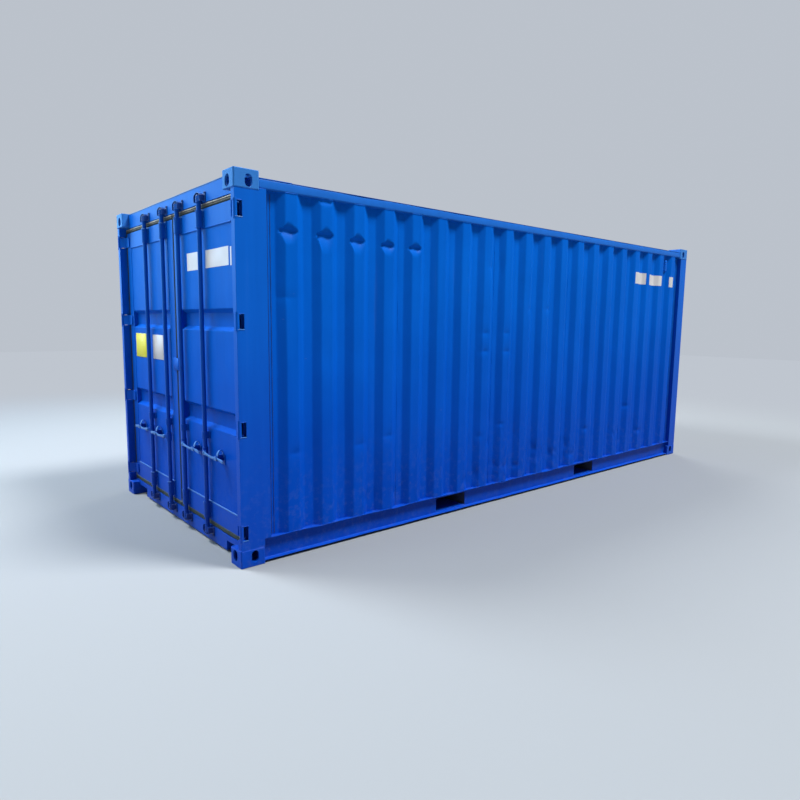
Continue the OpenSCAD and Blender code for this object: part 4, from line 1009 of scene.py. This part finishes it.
def handle(side, number, bar, paint):
    """Forged handle: a round eye on its pivot, then an arm whose height follows a table of
    places. It droops beyond the eye, lies level through the catch and droops again to the grip."""
    piece = Piece("handle_%d_forging" % number, side)
    out, drop, half_w, half_t = np.array(HANDLE_SHAPE).T
    tip = out[-1] - TIP_L
    fine = np.concatenate((np.linspace(out[0], tip, 46),
                           tip + TIP_L * np.sin(np.linspace(0, math.pi / 2, 6)[1:])))
    close = np.sqrt(np.clip(1 - ((fine - out[-1] + 0.008) / TIP_EASE).clip(0) ** 2, 0.02, 1))
    height = HANDLE_Z + np.interp(fine, out, drop)
    height[1:-1] = (height[:-2] + height[1:-1] + height[2:]) / 3
    square = [np.sign(v) * np.abs(v) ** SQUARISH for v in oval(1, 1, 16).T]
    wide = np.interp(fine, out, half_w) * close
    thick = np.interp(fine, out, half_t) * np.maximum(close, 0.35)
    piece.tube(joined(HANDLE_IN + thick[:, None] * square[0], bar - fine[:, None],
                      height[:, None] + wide[:, None] * square[1]))
    for steps in HANDLE_PIVOT:
        piece.disc(bar - PIVOT_OUT, HANDLE_Z, steps, 28)
    piece.make(paint, "handle_%d" % number, ["handle_%d" % number])


def bent_strip(piece, across, path, half, thick):
    """Strip of even thickness bent along a path of (d, z), its width changing with half."""
    path = np.array(path, float)
    fine = np.linspace(0, len(path) - 1, 4 * len(path))
    path = joined(*(np.interp(fine, np.arange(len(path)), path[:, i]) for i in (0, 1)))
    path[1:-1] = (path[:-2] + 2 * path[1:-1] + path[2:]) / 4
    run = np.gradient(path, axis=0)
    run /= np.linalg.norm(run, axis=1, keepdims=True)
    normal = joined(-run[:, 1], run[:, 0]) * thick / 2
    wide = np.interp(np.linspace(0, 1, len(path)), np.linspace(0, 1, len(half)), half)
    steps = across + wide[:, None] * np.linspace(-1, 1, 7)
    faces = path + normal, path - normal
    piece.slab(*(joined(face[:, :1], steps, face[:, 1:]) for face in faces))


def handle_catches(side, paint):
    """Round lip in front of each handle's arm, and the flap that stands arched above it."""
    name = DOORS[side]
    piece = Piece(name + "_catches", side)
    for bar in BARS:
        across = bar - CATCH_OUT
        bent_strip(piece, across, *CATCH_LIP)
        bent_strip(piece, across, *CATCH_ARCH)
        piece.heads([(across + turn * 0.022, z) for z in (0.650, 0.698) for turn in (-1, 1)],
                    DOOR_FACE - 0.005, "catch")
    piece.make(paint, name)


def film_on(name, side, body, finish, along, up, place):
    """Thin blank film that follows a sheet: place turns a grid of (along, up) into its points
    and the same points a film's thickness further in."""
    columns = np.arange(along[0], along[1] + 0.004, 0.007)
    columns[-1] = along[1]
    piece = Piece(name, side)
    piece.slab(*place(*np.meshgrid(columns, np.linspace(up[0], up[1], 9))))
    piece.make(finish, body)


def blank_panels(white, yellow):
    """Blank white fields on the side wall, the right door and its stile, where such a container
    carries its number, and the two blank plates on the left door."""
    def on_wall(s, z):
        face = wall_face(RIGHT, s, z)
        return [joined(s, face + more, z) for more in FILM_FACES]

    def on_door(w, z):
        face = np.where(w > STILE_IN, skin_depth(RIGHT, w, z), STILE_FACE)
        return [joined(face + more, w, z).swapaxes(0, 1) for more in FILM_FACES]

    for fields, title, body, place in ((WALL_FIELDS, "wall", "root", on_wall),
                                       (DOOR_FIELDS, "door", "right_door", on_door)):
        for number, (along, up) in enumerate(fields):
            film_on("%s_field_%d" % (title, number + 1), RIGHT, body, white,
                    along, up, place)
    for name, finish, slot, (w0, w1), (z0, z1) in (
            ("yellow_plate", yellow, "yellow_panel", (0.213, 0.491), (1.314, 1.525)),
            ("white_plate", white, "white_panel", (0.662, 0.916), (1.314, 1.521))):
        piece = Piece(name, LEFT)
        piece.plate(((w0 + w1) / 2, (z0 + z1) / 2), (w1 - w0, z1 - z0), 0.006,
                    DOOR_FACE + PLATE_BACK, PLATE_FRONT)
        piece.heads([(w, z) for w in (w0 + PLATE_HEAD_IN, w1 - PLATE_HEAD_IN)
                     for z in (z0 + PLATE_HEAD_IN, z1 - PLATE_HEAD_IN)], PLATE_FRONT, "film")
        piece.make(finish, "left_door")


def overlap_plate(paint):
    """Plate of the right door that reaches over the left door's edge."""
    piece = Piece("overlap_reach", RIGHT)
    piece.plate((WIDTH / 2 - 0.002, OVERLAP_Z), OVERLAP_SIZE, 0.003, OVERLAP_BACK, OVERLAP_FRONT,
                0.0010)
    piece.make(paint, "right_door")


def post_beads(side, paint, painted_highlight):
    """Weld beads where a door post meets its castings and around its hinge notches, whose lower
    edges are paler as painted highlights, where their tops catch the light."""
    piece = Piece("%s_post_beads" % SIDE_NAMES[side], side)
    along = np.arange(0.016, CASTING_L, 0.009)
    d = np.concatenate((np.full(9, POST_BEAD_IN), (0.0060, 0.0075), along))
    w = np.concatenate((np.linspace(0.051, 0.0075, 9), (0.0060, 0.0048),
                        np.full(len(along), POST_BEAD_IN)))
    for height in (CASTING_H + 0.0005, HEIGHT - CASTING_H - 0.0005):
        piece.bead(joined(d, w, height), "post", UP, np.arange(len(d)) * 2.1)
    ledges = Piece("%s_hinge_ledges" % SIDE_NAMES[side], side)
    for hinge in HINGES:
        for bead, height in ((ledges, hinge - NOTCH_H / 2 - 0.001),
                             (piece, hinge + NOTCH_H / 2 + 0.0005)):
            bead.bead(joined(np.linspace(0.012, NOTCH_L + 0.002, 9), 0.0032, height),
                      "notch_level", UP, np.arange(9) * 2.3)
        z = np.linspace(hinge - NOTCH_H / 2, hinge + NOTCH_H / 2, 19)
        piece.bead(joined(NOTCH_L + 0.001, 0.0030, z), "notch_back", INWARDS, np.arange(19) * 2.3)
    piece.make(paint)
    ledges.make(painted_highlight)


def wall_sealant_and_shade_lines(side, dark):
    """Dark lines up both ends of a side wall: the one nearer each end is a painted shadow where
    the wall meets the post, the other is sealant.
    """
    start, end, bottom, top = wall_numbers(side)[:4]
    piece = Piece("%s_wall_sealant" % SIDE_NAMES[side], side)
    z = np.arange(bottom + 0.01, top - 0.01, 0.03)
    for ending, turn in ((start, 1), (end, -1)):
        for place in (ending + turn * step for step in SEALANT_AND_SHADE_PLACES):
            face = wall_face(side, np.full(len(z), place), z)
            piece.bead(joined(place, face, z), "sealant", OUTWARDS, z * 37)
    piece.make(dark)


def header_dark_bead(dark):
    """Dark bead along the top edge of the header."""
    piece = Piece("header_dark_bead", RIGHT)
    w = np.linspace(CASTING_W, WIDTH - CASTING_W, 60)
    piece.bead(joined(HEADER_BEAD_IN, w, HEADER_BEAD_Z + 0.0006 * np.sin(w * 9)), "header", UP)
    piece.make(dark)


def top_rail(side, paint):
    """Square tube with rounded corners and a few soft knocks along its upper edge."""
    rng = np.random.default_rng(SEED + 70 + side)
    name = "top_rail_%s" % SIDE_NAMES[side]
    low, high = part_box(name)
    s = np.linspace(low.x + LENGTH / 2, high.x + LENGTH / 2, 150)
    half = (high.z - low.z) / 2
    across, up = rounded(half, half, TUBE_BEND, 5).T
    knock = TUBE_KNOCK * np.abs(ripple(s, 0 * s, 1.0, rng, longest=0.7))[:, None]
    knock = knock * ((across < 0) * (up > 0))
    piece = Piece(name + "_tube", side)
    piece.tube(joined(s[:, None], span(name)[0] + half + across + knock,
                      (low.z + high.z) / 2 + up - 0.6 * knock))
    piece.make(paint, "root", [name])


def ventilator(side, paint):
    """Louvred cover in the last trough but one: a domed plate with five hoods, each half an
    oval that opens downwards."""
    low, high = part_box("ventilators")
    back = CREST_IN + WAVE_DEPTH + 0.001
    piece = Piece("%s_ventilator_cover" % SIDE_NAMES[side], side)
    u, v = np.meshgrid(np.linspace(-1, 1, 25), np.linspace(-1, 1, 49))
    s = (low.x + high.x) / 2 + LENGTH / 2 + u * (high.x - low.x) / 2
    z = (low.z + high.z) / 2 + v * (high.z - low.z) / 2
    domed = (np.clip((1 - np.abs(u)) / DOME_EDGE_W, 0, 1)
             * np.clip((1 - np.abs(v)) / DOME_EDGE_H, 0, 1))
    place = (v + COLUMN_HALF) / (2 * COLUMN_HALF) * HOODS
    hood = np.clip(1 - (place % 1.0), 0, 1) ** 0.5 * ((place >= 0) & (place < HOODS))
    hood = hood * np.clip((HOOD_HALF - np.abs(u)) / HOOD_EASE, 0, 1)
    rise = COVER_RISE * domed ** 0.6 + HOOD_RISE * hood
    piece.slab(joined(s, back - rise, z), joined(s, back, z))
    piece.make(paint, "root", ["ventilators"], sharp=50)


def studio():
    """Pale floor that fades into the backdrop, soft lamps on both sides and a pale sky."""
    bpy.ops.mesh.primitive_plane_add(size=60, location=(0, 0, 0))
    floor = bpy.context.object
    floor.name = "studio_floor"
    finish = Finish("studio_floor", roughness=0.9, specular=0.1)
    reach = finish.add("ShaderNodeVectorMath", {"operation": "LENGTH"}, {0: finish.place}, "Value")
    away = reach.between(FADE_FROM, FADE_TO)
    finish.give(base_color=finish.mix(away, FLOOR_COLOUR, BLACK),
                emission_color=finish.mix(away, BLACK, BACKDROP), emission_strength=1.0)
    floor.data.materials.append(finish.material)
    for name, (place, size, power, tint) in LAMPS.items():
        data = bpy.data.lights.new(name, "AREA")
        data.shape, data.size, data.energy, data.color = "DISK", size, power, tint
        lamp = bpy.data.objects.new(name, data)
        lamp.location = place
        ahead = Vector((0, 0, 1.0)) - Vector(place)
        lamp.rotation_euler = ahead.to_track_quat("-Z", "Y").to_euler()
        bpy.context.scene.collection.objects.link(lamp)
    world = bpy.context.scene.world or bpy.data.worlds.new("studio")
    bpy.context.scene.world = world
    world.use_nodes = True
    sky = Nodes(world.node_tree)
    camera_ray, glossy_ray, passing_ray = (
        sky.add("ShaderNodeLightPath", {}, {}, kind)
        for kind in ("Is Camera Ray", "Is Glossy Ray", "Is Transmission Ray"))
    sky.feed(sky.tree.nodes["Background"].inputs["Color"],
             sky.mix(camera_ray + glossy_ray + passing_ray, SKY_LIGHT, BACKDROP))
    bpy.context.scene.view_settings.view_transform = "Standard"


def photo_camera():
    """Camera where the photograph was taken, from a fit on the container's own corners."""
    place, lens, sensor = (-4.748, -4.857, 1.648), 27.41, 36.0
    heading, tilt, roll = math.radians(49.685), math.radians(-7.231), math.radians(0.699)
    ahead = Vector((math.cos(heading) * math.cos(tilt), math.sin(heading) * math.cos(tilt),
                    math.sin(tilt)))
    right = ahead.cross(Vector((0, 0, 1))).normalized()
    up = right.cross(ahead)
    across = right * math.cos(roll) + up * math.sin(roll)
    above = up * math.cos(roll) - right * math.sin(roll)
    data = bpy.data.cameras.new("photo_camera")
    data.lens, data.sensor_width = lens, sensor
    camera = bpy.data.objects.new("photo_camera", data)
    turn = Matrix((across, above, -ahead)).transposed().to_4x4()
    camera.matrix_world = Matrix.Translation(place) @ turn
    bpy.context.scene.collection.objects.link(camera)
    bpy.context.scene.camera = camera


photo_camera()
studio()

sheet_paint = blue_paint("sheet_paint")
frame_paint = blue_paint("frame_paint", edge=0.003, gloss=0.10)
rail_paint = blue_paint("rail_paint", edge=0.003, gloss=0.10, faded=(0.0, 0.07))
cast_paint = blue_paint("cast_paint", edge=0.005, gloss=0.10, faded=(0.0, 0.20),
                        grain=(60.0, 0.0010))
# Gear paints are darker than the frame's: partly the gear's own darker coat, partly painted shade,
# darkest on cams, keepers and bar ends
gear_paint = blue_paint("gear_paint", edge=0.0015, shade=0.85, gloss=0.14)
dark_paint = blue_paint("dark_gear_paint", edge=0.0015, shade=0.45, gloss=0.30)
# Paler, glossier paint: worn paint on handles and catches with painted highlights on their lit
# tops, and painted highlights on lit ledges, lips and rims
wear_and_highlight_paint = blue_paint("wear_and_highlight_paint", gloss=0.35, faded=(0.24, 0.24))
white = blank_film("white_film", (0.63, 0.59, 0.57), (0.56, 0.54, 0.53))
yellow = blank_film("yellow_film", (0.80, 0.72, 0.03), (0.74, 0.66, 0.10))
finishes = {"blue_paint": frame_paint, "seal_rubber": seal_rubber(), "plywood": plywood(),
            "underside_paint": dark_coating()}
# Nodes with a paint of their own, by a word in their names
painted = {"castings": cast_paint, "fittings": gear_paint, "cam_keepers": dark_paint,
           "lock_bar": gear_paint}
for part in frame["record"]["subparts"]:
    node = frame["nodes"][part["node"]]
    special = [paint for word, paint in painted.items() if word in part["node"]]
    node.data.materials.clear()
    node.data.materials.append((special + [finishes[part["material_slot"]]])[0])

side_wall(RIGHT, sheet_paint)
side_wall(LEFT, sheet_paint)
for side in (RIGHT, LEFT):
    door_panel(side, sheet_paint)
    door_seal(side, finishes["seal_rubber"])
    bottom_rail(side, frame_paint)
    top_rail(side, rail_paint)
    door_beads(side, frame_paint, wear_and_highlight_paint)
    guide_bolts(side, gear_paint)
    guide_rims(side, gear_paint, wear_and_highlight_paint)
    # Keeper feet and bar ends in the darkest paint, partly painted shade
    keeper_plates(side, dark_paint)
    bar_ends(side, dark_paint)
    # Handles and their catches get the paler paint: worn paint, with painted highlights on their
    # lit tops
    handle_catches(side, wear_and_highlight_paint)
    for number, bar in zip(BAR_NUMBERS[side], BARS):
        handle(side, number, bar, wear_and_highlight_paint)
    ventilator(side, frame_paint)
end_wall(sheet_paint)
roof(sheet_paint)
blank_panels(white, yellow)
overlap_plate(frame_paint)
for side in (RIGHT, LEFT):
    post_beads(side, frame_paint, wear_and_highlight_paint)
for side in (RIGHT, LEFT):
    wall_sealant_and_shade_lines(side, dark_paint)
header_dark_bead(dark_paint)
